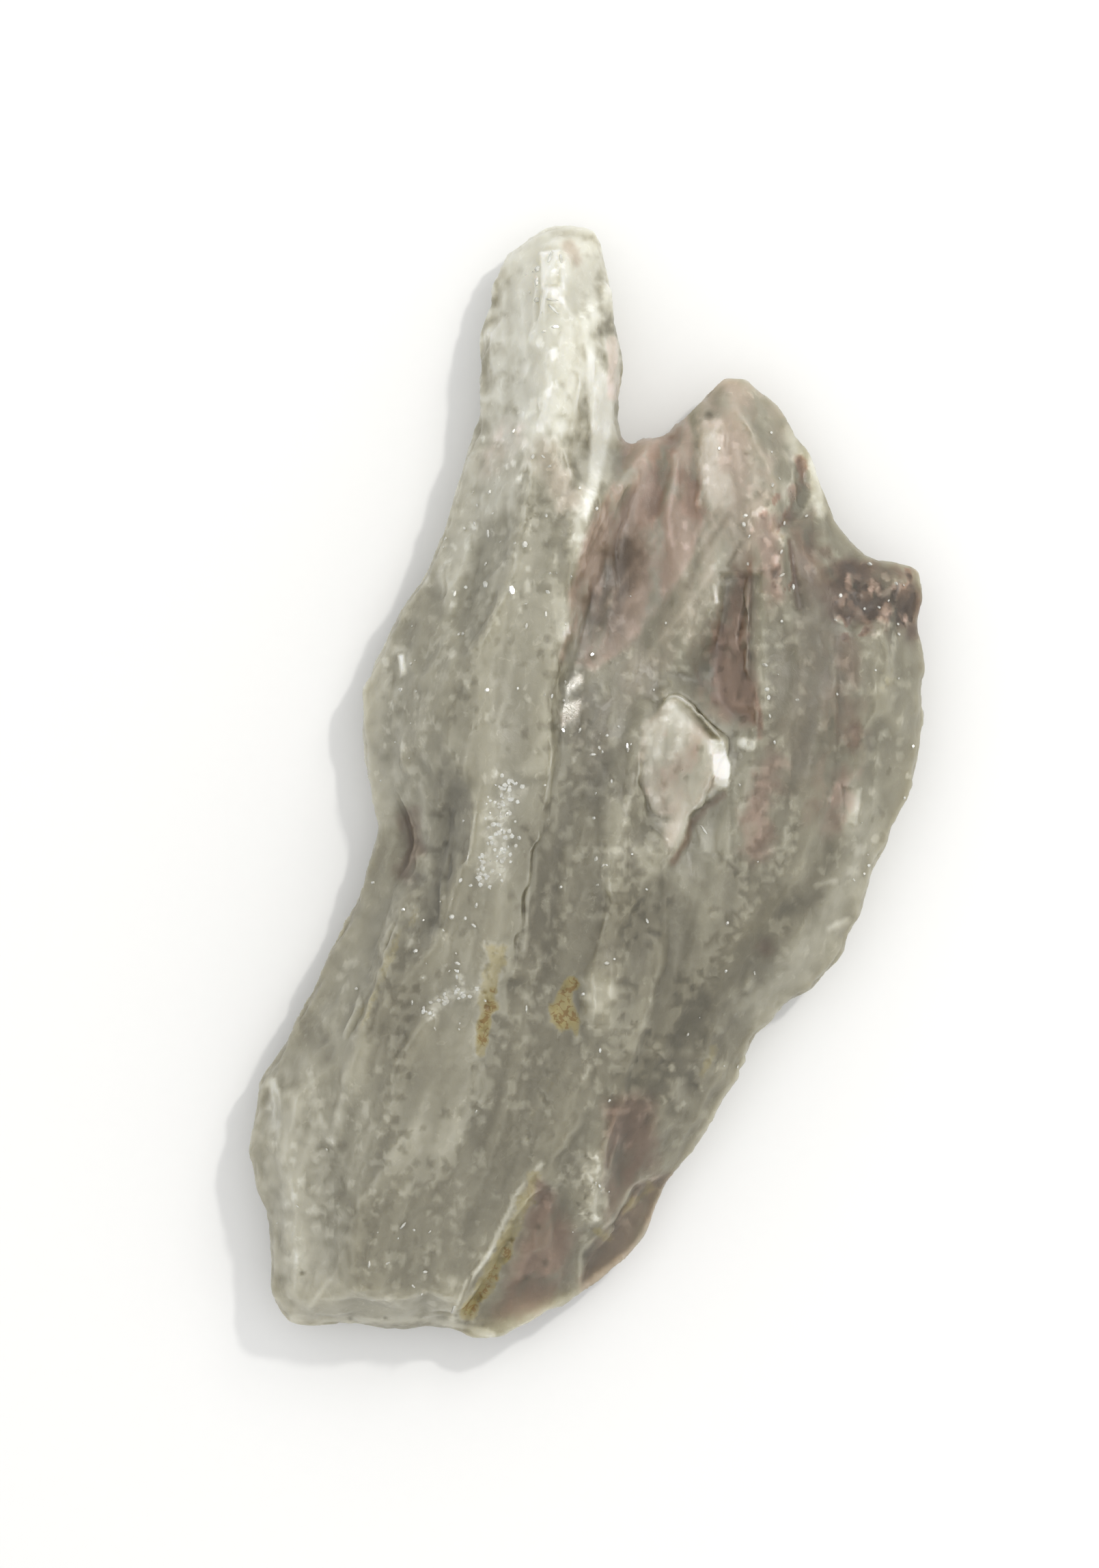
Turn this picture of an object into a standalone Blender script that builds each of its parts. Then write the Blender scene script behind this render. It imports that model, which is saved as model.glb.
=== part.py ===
"""Rough prasiolite: one plate of quartz crystals that grew side by side, lying on its back.

+Y runs along the crystals towards their two free tips, +X across them and +Z up, away from the
surface that the stone lies on. The origin is on that surface, below the middle of the stone.
The tables are in millimetres, seen from above. The finished mesh is in metres and is fitted to
the three driving dimensions.
"""
from dataclasses import dataclass

import bmesh
import bpy
import numpy as np
from mathutils import Vector, noise

# Driving dimensions, in metres
LENGTH = 0.0780
WIDTH = 0.0473
THICKNESS = 0.0138

# Working sizes, in millimetres
SLAB_HEIGHT = 4.0
SLAB_CELL = 0.5
SKIN_SHARE = 0.03
THINNEST = 1.1
FLAT_WITHIN = 0.04
TRIANGLES = 9400

# Growth lines: across = x - (START + LEAN * y - BEND * y * y)
GROWTH_START = -6.5
GROWTH_LEAN = 0.1895
GROWTH_BEND = 0.001244
FAN_FROM_Y = 6.0
FAN_WIDTH = 8.0
FAN_AMOUNT = 1.4

STONE_COLOUR = (0.47, 0.46, 0.38, 1.0)
STONE_ROUGHNESS = 0.22
STONE_IOR = 1.544
STONE_CLEARNESS = 0.6


@dataclass(frozen=True)
class Rim:
    """A stretch of the outline with the form of the stone's edge along it.

    lift is the height of the underside at the edge and lip the thickness there. rise and fall are
    the slopes at which the front and the underside leave the edge.
    """

    points: tuple
    lift: float
    lip: float
    rise: float
    fall: float


@dataclass(frozen=True)
class Blade:
    """A long crystal: a crest of (x, y, height) points, from its lower end to its upper end.

    The crest is flat over half the width on each side, and the faces beyond it fall at the slopes.
    A wall is a path, its lower end first, to the right of which the crystal falls steeply.
    """

    crest: tuple
    left_half: float
    right_half: float
    left_slope: float
    right_slope: float
    wall: tuple = ()


@dataclass(frozen=True)
class Ledge:
    """A break in the surface along a path: the low side drops, and comes back over the reach."""

    path: tuple
    low_side: int
    drop: float
    reach: float
    ramp: float


@dataclass(frozen=True)
class Groove:
    """A V-shaped furrow along a path, or a ridge where the depth is negative."""

    path: tuple
    depth: float
    half_width: float


@dataclass(frozen=True)
class Facet:
    """A flat broken face: a plane through a centre height, inside a convex outline."""

    outline: tuple
    centre: tuple
    height: float
    tilt: tuple


LEFT = 1
RIGHT = -1
WALL_SLOPE = 1.9

# The step down from the long blade to the clearer crystals on its right
LONG_BLADE_WALL = (
    (-3.6, -3.5), (-2.9, 0.8), (-2.6, 5.6), (-1.8, 9.4), (-1.3, 13.0), (-0.2, 16.6), (1.0, 19.4),
    (1.9, 21.0), (2.5, 23.2), (2.8, 27.0),
)

# The outline, clockwise from the left side of the long blade's tip
RIMS = (
    Rim(((-7.4, 32.0), (-6.9, 33.0), (-6.4, 35.0), (-6.0, 36.0), (-5.4, 37.1), (-4.1, 38.0),
         (-2.8, 38.8), (-1.1, 39.0), (-0.2, 38.7), (0.4, 38.6), (0.9, 37.6), (1.4, 35.7)),
        2.0, 1.9, 1.3, 0.9),
    Rim(((1.4, 35.7), (1.7, 34.3), (1.8, 32.8), (2.1, 30.7), (2.4, 29.6), (2.2, 27.6), (1.9, 25.6),
         (2.1, 24.2), (2.4, 23.1)),
        2.2, 3.2, 1.9, 1.0),
    Rim(((2.4, 23.1), (4.0, 23.8), (5.9, 24.2), (7.0, 25.6), (8.4, 27.1)),
        2.4, 2.4, 1.5, 0.8),
    Rim(((8.4, 27.1), (9.4, 28.1), (11.2, 28.1), (12.5, 27.0), (13.6, 25.9), (14.4, 24.4),
         (15.0, 23.4), (15.9, 22.2), (16.2, 20.8), (16.9, 19.2), (18.3, 17.0), (19.1, 15.9)),
        2.4, 1.9, 1.2, 0.8),
    Rim(((19.1, 15.9), (20.3, 15.4), (22.1, 15.2), (23.2, 14.9), (23.5, 12.7), (23.2, 10.5),
         (23.6, 8.6), (23.4, 5.6), (23.2, 2.2)),
        2.8, 1.9, 1.3, 0.7),
    Rim(((23.2, 2.2), (22.9, 0.0), (22.2, -1.5), (21.3, -3.2), (20.8, -4.6), (20.0, -6.3),
         (19.5, -8.2), (18.5, -10.1), (18.0, -11.8), (17.1, -13.1)),
        3.0, 1.7, 0.95, 0.6),
    Rim(((17.1, -13.1), (15.8, -14.4), (14.2, -15.4), (13.2, -16.5), (11.7, -17.8), (10.8, -19.6),
         (10.5, -20.9), (9.4, -22.3), (8.4, -24.5), (7.1, -26.3)),
        2.8, 1.8, 1.0, 0.6),
    Rim(((7.1, -26.3), (5.5, -28.1), (4.6, -30.3), (4.1, -31.9), (2.8, -33.5), (1.1, -34.7),
         (-0.8, -36.1), (-3.3, -37.4), (-5.3, -38.4), (-6.2, -38.9)),
        2.3, 1.8, 1.1, 0.7),
    Rim(((-6.2, -38.9), (-7.9, -39.0), (-9.4, -38.4), (-11.0, -38.1), (-12.6, -38.5), (-14.8, -38.3),
         (-16.6, -38.1), (-18.7, -38.1), (-20.9, -38.0), (-22.2, -36.3)),
        1.4, 2.4, 1.9, 0.8),
    Rim(((-22.2, -36.3), (-22.3, -33.2), (-22.5, -30.4), (-23.2, -28.4), (-23.7, -26.0),
         (-23.6, -24.8), (-23.1, -23.0), (-23.1, -21.2), (-21.5, -19.0), (-20.5, -17.0)),
        2.0, 2.5, 1.4, 0.8),
    Rim(((-20.5, -17.0), (-19.0, -14.2), (-17.8, -11.6), (-16.4, -8.9), (-15.4, -6.1), (-14.7, -4.1),
         (-14.7, -3.0), (-15.3, -0.4), (-15.9, 3.4)),
        2.3, 2.0, 1.3, 0.8),
    Rim(((-15.9, 3.4), (-15.6, 6.0), (-14.9, 8.3), (-13.7, 10.8), (-12.9, 12.3), (-11.6, 14.0),
         (-10.3, 16.7), (-9.4, 19.5), (-8.7, 22.2), (-7.6, 25.2), (-7.4, 28.5), (-7.4, 32.0)),
        2.2, 2.4, 1.25, 0.9),
)

# Front: the crystals that make it, each with its lower end first
FRONT_BLADES = (
    Blade(((-15.4, -38.0, 8.6), (-12.6, -25.0, 11.0), (-9.0, -12.0, 12.6), (-6.6, 2.0, 13.0),
           (-4.6, 14.0, 12.0), (-2.8, 27.0, 10.4), (-2.1, 38.0, 8.2)),
          1.4, 2.6, 0.42, 0.26, LONG_BLADE_WALL),
    Blade(((-1.6, 12.0, 11.4), (-0.3, 18.0, 10.9), (1.2, 24.0, 10.2), (1.0, 30.0, 9.0)),
          0.4, 0.3, 0.5, 1.4, LONG_BLADE_WALL),
    Blade(((-20.4, -35.0, 7.2), (-20.0, -26.0, 8.2), (-18.0, -17.5, 9.0), (-15.8, -11.0, 9.4)),
          1.0, 1.0, 0.45, 0.25),
    Blade(((-14.2, -4.5, 7.6), (-14.1, 3.0, 8.2), (-12.6, 9.0, 8.4), (-10.4, 15.0, 8.6)),
          0.5, 0.5, 0.7, 0.2),
    Blade(((-8.6, -36.5, 8.0), (-4.8, -27.5, 10.6), (-1.0, -16.0, 12.2), (1.4, -5.0, 12.2),
           (1.6, 1.5, 11.2)),
          1.6, 1.6, 0.30, 0.34),
    Blade(((1.8, 0.5, 10.0), (3.9, 6.0, 9.6), (6.9, 10.4, 9.4), (9.2, 14.2, 9.2), (11.6, 18.0, 8.9)),
          0.8, 1.1, 0.34, 0.55),
    Blade(((2.4, -27.5, 8.0), (6.2, -18.5, 10.2), (9.2, -10.0, 11.0), (12.2, 0.0, 10.4),
           (12.9, 9.0, 9.6), (11.6, 18.0, 9.0), (10.2, 26.0, 7.0)),
          1.1, 1.2, 0.40, 0.30),
    Blade(((12.4, -13.0, 7.0), (16.4, -5.0, 8.2), (18.0, 3.0, 8.8), (18.6, 10.0, 8.6),
           (19.4, 15.0, 7.6)),
          1.2, 1.5, 0.32, 0.34),
    Blade(((-2.4, -35.5, 6.6), (0.6, -28.5, 8.6)),
          1.4, 1.2, 0.3, 0.5),
)

FRONT_LEDGES = (
    Ledge(((-9.4, -38.0), (-8.4, -35.4), (-6.6, -32.5), (-4.8, -29.7), (-2.9, -27.0)),
          RIGHT, 2.2, 5.0, 1.0),
    Ledge(((-0.6, -35.9), (-0.4, -33.0), (1.2, -31.0), (2.6, -29.3), (3.3, -28.0), (5.6, -27.4)),
          RIGHT, 1.4, 5.0, 0.9),
    Ledge(((5.2, -5.8), (6.5, -4.2), (7.0, -2.8), (7.7, -1.7), (9.9, -0.4)),
          RIGHT, 1.1, 2.6, 0.8),
    Ledge(((12.0, 3.0), (11.5, 6.6), (11.1, 9.0), (11.2, 12.0), (11.4, 15.2)),
          LEFT, 2.2, 2.2, 0.8),
    Ledge(((-16.6, -19.0), (-15.0, -14.5), (-13.5, -10.0), (-12.2, -6.5), (-11.5, -4.2),
           (-12.3, -2.0), (-13.0, 3.0), (-12.5, 7.0), (-11.7, 11.5)),
          LEFT, 1.2, 2.4, 0.9),
    Ledge(((1.3, -29.8), (1.3, -25.0), (3.0, -19.0), (4.9, -12.0), (5.1, -7.0)),
          RIGHT, 1.0, 3.4, 0.8),
    Ledge(((5.0, -27.0), (7.4, -23.6), (9.2, -20.4)),
          RIGHT, 0.8, 2.2, 0.7),
    Ledge(((-17.6, -34.5), (-15.6, -29.0), (-12.2, -24.0), (-9.6, -17.5)),
          LEFT, 0.8, 3.2, 0.9),
    Ledge(((-10.4, -34.0), (-6.6, -26.0), (-4.2, -18.0), (-4.2, -7.0)),
          RIGHT, 0.6, 2.6, 0.8),
    Ledge(((-21.3, -25.0), (-21.4, -20.0)),
          LEFT, 1.0, 2.2, 0.7),
    Ledge(((17.0, -11.2), (18.4, -9.8)),
          RIGHT, 0.7, 1.6, 0.6),
)

FRONT_GROOVES = (
    Groove(((14.8, 12.0), (14.3, 13.6), (14.0, 16.6)), 0.7, 0.9),
    Groove(((4.6, 19.0), (5.3, 21.5), (5.8, 23.8)), 0.8, 0.9),
    Groove(((13.5, 17.8), (14.7, 19.2), (15.2, 21.0), (15.0, 22.2)), 1.3, 1.0),
    Groove(((-12.5, -6.4), (-12.3, -4.4), (-12.9, -2.2)), 1.1, 1.3),
    Groove(((-10.9, -11.0), (-10.1, -6.0), (-9.0, -1.0)), 0.7, 1.3),
    Groove(((-7.0, -19.2), (-6.7, -15.0), (-6.1, -11.6)), 0.6, 1.1),
    Groove(((-0.9, -18.0), (-1.6, -14.2)), 0.6, 1.2),
    Groove(((-8.2, -36.6), (-3.4, -28.2)), 0.6, 1.3),
    Groove(((18.6, 11.4), (20.6, 13.0), (22.0, 12.0)), 0.9, 1.3),
    Groove(((-3.6, 31.0), (-2.7, 34.0), (-2.4, 37.4)), -0.6, 1.0),
    Groove(((-0.9, 29.0), (-0.6, 34.5)), 0.4, 0.9),
    Groove(((8.2, 19.5), (8.9, 24.4)), -0.6, 1.0),
    Groove(((1.9, -7.6), (1.9, -1.8)), -0.6, 1.1),
    Groove(((0.7, -16.2), (1.0, -13.4)), -0.9, 1.7),
)

FRONT_FACETS = (
    Facet(((3.5, 2.4), (3.6, 0.2), (5.4, -5.4), (7.0, -2.6), (9.8, -0.4), (9.6, 2.6), (6.6, 5.9),
           (5.6, 5.9)),
          (6.6, 0.8), 10.9, (0.10, 0.03)),
)

# Back: the undersides of the same crystals, which the resting plane at height 0 cuts flat
BACK_BLADES = (
    Blade(((-13.5, -35.0, 0.8), (-10.6, -22.0, -1.2), (-7.0, -4.0, -1.7), (-4.6, 12.0, -1.0),
           (-3.0, 24.0, 0.5), (-2.4, 36.0, 1.4)),
          1.5, 1.5, 0.44, 0.46),
    Blade(((0.0, -30.0, 1.0), (4.6, -14.0, -1.0), (8.6, 0.0, -1.3), (10.2, 12.0, 0.0),
           (10.4, 24.0, 1.8)),
          1.3, 1.4, 0.42, 0.36),
    Blade(((15.0, -8.0, 2.2), (17.6, 2.0, 1.8), (18.6, 12.0, 2.2)),
          1.0, 1.2, 0.3, 0.3),
    Blade(((-19.6, -34.0, 1.2), (-18.8, -20.0, 1.1)),
          1.2, 1.0, 0.35, 0.3),
    Blade(((-1.2, -20.0, 0.9), (1.4, -2.0, 0.9), (2.0, 14.0, 1.4)),
          0.7, 0.7, 0.34, 0.34),
)

# Slim crystals that stand out of the front, placed at random across and along the growth lines
SIDE_CRYSTALS = {
    "seed": 23,
    "count": 46,
    "low_corner": (-13.0, -36.0),
    "high_corner": (30.0, 30.0),
    "half_width": (0.5, 1.3),
    "half_length": (3.0, 8.0),
    "lift": (0.2, 0.6),
    "flank": 0.9,
    "tip": 0.5,
    "root": 0.12,
}

# Broken growth mosaic: small tilted faces, long along the growth lines
FRONT_MOSAIC = {"seed": 5, "across": 2.5, "along": 7.5, "tilt": 0.13, "step": 0.16}
BACK_MOSAIC = {"seed": 11, "across": 3.4, "along": 8.5, "tilt": 0.10, "step": 0.12}
MOSAIC_SPAN = (72.0, 96.0)
MOSAIC_MIDDLE = 8.0
MOSAIC_SEAM = 0.22
ALONG_TILT = 0.25
RIPPLE_HEIGHT = 0.12
RIPPLE_ACROSS = 1.9
RIPPLE_ALONG = 8.0
CALM_EDGE = 3.0
CHIP_SHIFT = 0.26
CHIP_SIZE = 1.7
CHIP_UPRIGHT = 1.6
CHIP_OFFSET = Vector((31.0, 17.0, 5.0))


def clear_scene():
    """Remove every object that is already in the file."""
    for item in list(bpy.data.objects):
        bpy.data.objects.remove(item, do_unlink=True)


def new_collection(name):
    """Return a new collection, linked to the scene."""
    collection = bpy.data.collections.new(name)
    bpy.context.scene.collection.children.link(collection)
    return collection


def outline_points():
    """Return the whole outline as one closed run of points, without the shared ends."""
    points = []
    for rim in RIMS:
        points.extend(rim.points[:-1])
    return points


def outline_curve(collection):
    """Return the outline as a filled 2D curve, extruded to the height of the slab."""
    curve = bpy.data.curves.new("outline", "CURVE")
    curve.dimensions = "2D"
    curve.fill_mode = "BOTH"
    curve.extrude = SLAB_HEIGHT / 2
    points = outline_points()
    spline = curve.splines.new("POLY")
    spline.points.add(len(points) - 1)
    for point, (x, y) in zip(spline.points, points):
        point.co = (x, y, 0.0, 1.0)
    spline.use_cyclic_u = True
    item = bpy.data.objects.new("outline", curve)
    collection.objects.link(item)
    return item


def evaluated_mesh(item):
    """Return a new mesh of the object as its modifiers leave it."""
    graph = bpy.context.evaluated_depsgraph_get()
    return bpy.data.meshes.new_from_object(item.evaluated_get(graph))


def weld(mesh, distance):
    """Merge the mesh's points that are closer than the distance."""
    work = bmesh.new()
    work.from_mesh(mesh)
    bmesh.ops.remove_doubles(work, verts=work.verts, dist=distance)
    bmesh.ops.recalc_face_normals(work, faces=work.faces)
    work.to_mesh(mesh)
    work.free()


def slab_mesh(collection):
    """Return the outline as a slab, closed and cut into small even faces."""
    curve_item = outline_curve(collection)
    mesh = evaluated_mesh(curve_item)
    weld(mesh, SLAB_CELL / 100)
    slab = bpy.data.objects.new("slab", mesh)
    collection.objects.link(slab)
    bpy.data.objects.remove(curve_item)
    remesh = slab.modifiers.new("even faces", "REMESH")
    remesh.mode = "VOXEL"
    remesh.voxel_size = SLAB_CELL
    even = evaluated_mesh(slab)
    bpy.data.objects.remove(slab)
    return even


def follow(path, x, y):
    """Return the distance to a path, the side of it (+1 on its left) and the place along it."""
    nearest = np.full(x.shape, np.inf)
    side = np.ones(x.shape)
    place = np.zeros(x.shape)
    for index in range(len(path) - 1):
        start = np.array(path[index][:2])
        leg = np.array(path[index + 1][:2]) - start
        from_x = x - start[0]
        from_y = y - start[1]
        share = np.clip((from_x * leg[0] + from_y * leg[1]) / leg.dot(leg), 0.0, 1.0)
        distance = np.hypot(from_x - share * leg[0], from_y - share * leg[1])
        nearer = distance < nearest
        nearest = np.where(nearer, distance, nearest)
        side = np.where(nearer, np.sign(leg[0] * from_y - leg[1] * from_x), side)
        place = np.where(nearer, index + share, place)
    return nearest, side, place


def blade_drop(blade, x, y):
    """Return the crest height beside each point, and how far the blade's faces fall below it."""
    distance, side, place = follow(blade.crest, x, y)
    heights = [point[2] for point in blade.crest]
    crest = np.interp(place, range(len(heights)), heights)
    half = np.where(side > 0, blade.left_half, blade.right_half)
    slope = np.where(side > 0, blade.left_slope, blade.right_slope)
    fall = slope * np.maximum(distance - half, 0.0)
    if blade.wall:
        distance, side, _ = follow(blade.wall, x, y)
        fall = fall + np.where(side == RIGHT, WALL_SLOPE * distance, 0.0)
    return crest, fall


def end_taper(path, place):
    """Return 0 at the ends of a path, rising to 1 within a leg of them."""
    return np.clip(np.minimum(place, len(path) - 1 - place) * 1.5 + 0.15, 0.0, 1.0)


def ledge_depth(ledge, x, y):
    """Return how far a ledge lowers the surface."""
    distance, side, place = follow(ledge.path, x, y)
    low = np.where(side == ledge.low_side, distance, 0.0)
    fall = np.clip(low / ledge.ramp, 0.0, 1.0) * np.exp(-low / ledge.reach)
    return ledge.drop * fall * end_taper(ledge.path, place)


def groove_depth(groove, x, y):
    """Return how far a groove lowers the surface."""
    distance, _, _ = follow(groove.path, x, y)
    return groove.depth * np.clip(1.0 - distance / groove.half_width, 0.0, 1.0)


def inside_convex(outline, x, y):
    """Return where the points lie inside an outline that runs either way round."""
    turns = []
    for start, end in zip(outline, outline[1:] + outline[:1]):
        turns.append((end[0] - start[0]) * (y - start[1]) - (end[1] - start[1]) * (x - start[0]))
    turns = np.array(turns)
    return np.all(turns > 0, axis=0) | np.all(turns < 0, axis=0)


def growth_coordinates(x, y):
    """Return the places across and along the growth lines, which fan out towards the tips."""
    fan = np.clip(x / FAN_WIDTH, 0.0, 1.0)
    bent_y = y - fan * FAN_AMOUNT * np.maximum(y - FAN_FROM_Y, 0.0)
    across = x - (GROWTH_START + GROWTH_LEAN * bent_y - GROWTH_BEND * bent_y * bent_y)
    return across, y


def mosaic_height(mosaic, across, along):
    """Return the height of the small tilted faces that the crystals broke into."""
    chance = np.random.default_rng(mosaic["seed"])
    columns = int(MOSAIC_SPAN[0] / mosaic["across"])
    rows = int(MOSAIC_SPAN[1] / mosaic["along"])
    nearest = np.full(across.shape, np.inf)
    second = np.full(across.shape, np.inf)
    height = np.zeros(across.shape)
    second_height = np.zeros(across.shape)
    for column in range(columns):
        for row in range(rows):
            jitter = chance.uniform(-0.5, 0.5, 2)
            tilt = chance.normal(0.0, mosaic["tilt"], 2)
            step = chance.normal(0.0, mosaic["step"])
            off_across = across - (column + jitter[0] - columns / 2) * mosaic["across"] - MOSAIC_MIDDLE
            off_along = along - (row + jitter[1] - rows / 2) * mosaic["along"]
            distance = np.hypot(off_across / mosaic["across"], off_along / mosaic["along"])
            face = step + tilt[0] * off_across + ALONG_TILT * tilt[1] * off_along
            first = distance < nearest
            next_best = ~first & (distance < second)
            second_height = np.where(first, height, np.where(next_best, face, second_height))
            second = np.where(first, nearest, np.where(next_best, distance, second))
            height = np.where(first, face, height)
            nearest = np.where(first, distance, nearest)
    share = 0.5 + 0.5 * np.clip((second - nearest) / MOSAIC_SEAM, 0.0, 1.0)
    return share * height + (1.0 - share) * second_height


def ripple_height(across, along):
    """Return the low ripples that run with the growth lines."""
    values = [
        noise.noise(Vector((a / RIPPLE_ACROSS, b / RIPPLE_ALONG, 0.5)))
        for a, b in zip(across, along)
    ]
    return RIPPLE_HEIGHT * np.array(values)


def side_crystals(base, x, y):
    """Return the base surface with slim crystals standing out of it, each with a chisel tip."""
    across, along = growth_coordinates(x, y)
    chance = np.random.default_rng(SIDE_CRYSTALS["seed"])
    height = base.copy()
    for _ in range(SIDE_CRYSTALS["count"]):
        place = chance.uniform(SIDE_CRYSTALS["low_corner"], SIDE_CRYSTALS["high_corner"])
        half_width = chance.uniform(*SIDE_CRYSTALS["half_width"])
        half_length = chance.uniform(*SIDE_CRYSTALS["half_length"])
        lift = chance.uniform(*SIDE_CRYSTALS["lift"])
        off_across = across - place[0]
        off_along = along - place[1]
        flank = np.maximum(np.abs(off_across) - half_width, 0.0) * SIDE_CRYSTALS["flank"]
        tip = np.maximum(off_along - half_length, 0.0) * SIDE_CRYSTALS["tip"]
        root = np.maximum(-off_along - half_length / 2, 0.0) * SIDE_CRYSTALS["root"]
        height = np.maximum(height, base + lift - flank - tip - root)
    return height


def front_height(x, y):
    """Return the height of the front over the resting plane."""
    height = np.full(x.shape, -np.inf)
    for blade in FRONT_BLADES:
        crest, fall = blade_drop(blade, x, y)
        height = np.maximum(height, crest - fall)
    height = side_crystals(height, x, y)
    edge = np.full(x.shape, np.inf)
    for rim in RIMS:
        distance, _, _ = follow(rim.points, x, y)
        height = np.minimum(height, rim.lift + rim.lip + rim.rise * distance)
        edge = np.minimum(edge, distance)
    for ledge in FRONT_LEDGES:
        height = height - ledge_depth(ledge, x, y)
    for facet in FRONT_FACETS:
        plane = (facet.height + facet.tilt[0] * (x - facet.centre[0])
                 + facet.tilt[1] * (y - facet.centre[1]))
        height = np.where(inside_convex(facet.outline, x, y), plane, height)
    for groove in FRONT_GROOVES:
        height = height - groove_depth(groove, x, y)
    across, along = growth_coordinates(x, y)
    rough = mosaic_height(FRONT_MOSAIC, across, along) + ripple_height(across, along)
    return height + rough * np.clip(edge / CALM_EDGE, 0.3, 1.0)


def back_height(x, y):
    """Return the height of the underside over the resting plane."""
    height = np.full(x.shape, np.inf)
    for blade in BACK_BLADES:
        crest, fall = blade_drop(blade, x, y)
        height = np.minimum(height, crest + fall)
    across, along = growth_coordinates(x, y)
    height = height + mosaic_height(BACK_MOSAIC, across, along)
    for rim in RIMS:
        distance, _, _ = follow(rim.points, x, y)
        height = np.maximum(height, rim.lift - rim.fall * distance)
    return np.maximum(height, 0.0)


def chipped(x, y, z):
    """Return the shifts in x and y that chip the edge, in a way that varies up its height."""
    shifts = []
    for a, b, c in zip(x, y, z):
        place = Vector((a, b, CHIP_UPRIGHT * c)) / CHIP_SIZE
        shifts.append((noise.noise(place), noise.noise(place + CHIP_OFFSET)))
    return CHIP_SHIFT * np.array(shifts)


def read_points(mesh):
    """Return the mesh's points as rows of x, y and z."""
    flat = np.empty(len(mesh.vertices) * 3)
    mesh.vertices.foreach_get("co", flat)
    return flat.reshape(-1, 3)


def write_points(mesh, points):
    """Move the mesh's points to the rows."""
    mesh.vertices.foreach_set("co", points.ravel())
    mesh.update()


def shape_stone(mesh):
    """Move the slab's points so that its two faces become the front and the underside."""
    points = read_points(mesh)
    x = points[:, 0].copy()
    y = points[:, 1].copy()
    share = np.clip((points[:, 2] / SLAB_HEIGHT + 0.5 - SKIN_SHARE) / (1 - 2 * SKIN_SHARE), 0.0, 1.0)
    back = back_height(x, y)
    front = np.maximum(front_height(x, y), back + THINNEST)
    z = back + (front - back) * share
    points[:, :2] += chipped(x, y, z)
    points[:, 2] = z
    write_points(mesh, points)


def broken_faces(mesh, collection):
    """Return the mesh with its small faces joined into fewer, larger ones."""
    work = bpy.data.objects.new("work", mesh)
    collection.objects.link(work)
    mesh.calc_loop_triangles()
    decimate = work.modifiers.new("broken faces", "DECIMATE")
    decimate.ratio = TRIANGLES / len(mesh.loop_triangles)
    decimate.use_collapse_triangulate = True
    fewer = evaluated_mesh(work)
    bpy.data.objects.remove(work)
    return fewer


def fit_to_box(mesh):
    """Scale the mesh to the driving dimensions, with its lowest faces flat on height 0."""
    points = read_points(mesh)
    points[:, 2] = np.where(points[:, 2] < FLAT_WITHIN, 0.0, points[:, 2])
    low = points.min(axis=0)
    high = points.max(axis=0)
    middle = (low + high) / 2
    middle[2] = 0.0
    points -= middle
    points *= np.array((WIDTH, LENGTH, THICKNESS)) / (high - low)
    write_points(mesh, points)


def stone_material():
    """Return the clouded grey-green quartz."""
    material = bpy.data.materials.new("prasiolite quartz")
    material.use_nodes = True
    shader = material.node_tree.nodes["Principled BSDF"]
    shader.inputs["Base Color"].default_value = STONE_COLOUR
    shader.inputs["Roughness"].default_value = STONE_ROUGHNESS
    shader.inputs["Metallic"].default_value = 0.0
    shader.inputs["IOR"].default_value = STONE_IOR
    shader.inputs["Transmission Weight"].default_value = STONE_CLEARNESS
    return material


def build_stone(collection):
    """Build the stone as one closed body and return its object."""
    mesh = slab_mesh(collection)
    shape_stone(mesh)
    mesh = broken_faces(mesh, collection)
    fit_to_box(mesh)
    mesh.name = "prasiolite"
    mesh.materials.append(stone_material())
    stone = bpy.data.objects.new("prasiolite", mesh)
    collection.objects.link(stone)
    return stone


def main():
    """Build the model."""
    clear_scene()
    build_stone(new_collection("rough prasiolite"))


main()
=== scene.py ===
"""Dresses the rough prasiolite: a broken plate of cloudy quartz crystals that grew side by side.

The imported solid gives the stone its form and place. This script cuts the fine relief into a copy of it,
paints where the quartz is pale, deep, mauve, clear or stained by iron, grows the small druse crystals on
it, and stands it on a pale floor in soft light.
"""

from __future__ import annotations

import itertools
import logging
import math
from dataclasses import dataclass, field
from enum import Enum
from typing import Any, Iterable, Mapping, Sequence

import bmesh
import bpy
import numpy as np
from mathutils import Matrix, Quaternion, Vector
from mathutils.bvhtree import BVHTree

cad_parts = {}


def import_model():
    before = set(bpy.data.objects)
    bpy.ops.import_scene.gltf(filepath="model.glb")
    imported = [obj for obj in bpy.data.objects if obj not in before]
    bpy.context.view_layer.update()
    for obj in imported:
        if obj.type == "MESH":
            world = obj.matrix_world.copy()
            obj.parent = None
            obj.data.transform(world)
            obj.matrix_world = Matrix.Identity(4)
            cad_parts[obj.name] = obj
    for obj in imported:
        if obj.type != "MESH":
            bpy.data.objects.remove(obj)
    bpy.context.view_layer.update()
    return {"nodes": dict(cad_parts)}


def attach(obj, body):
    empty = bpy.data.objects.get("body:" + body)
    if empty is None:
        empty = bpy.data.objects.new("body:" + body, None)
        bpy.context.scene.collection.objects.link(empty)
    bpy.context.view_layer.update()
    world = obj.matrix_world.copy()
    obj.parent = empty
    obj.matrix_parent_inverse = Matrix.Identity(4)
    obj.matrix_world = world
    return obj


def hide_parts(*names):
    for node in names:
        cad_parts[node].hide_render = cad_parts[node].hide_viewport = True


LOG = logging.getLogger("prasiolite")

MM = 0.001
NODE = "prasiolite"
BODY = "root"

UP = Vector((0.0, 0.0, 1.0))
CRYSTAL_SIDES = 6

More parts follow.
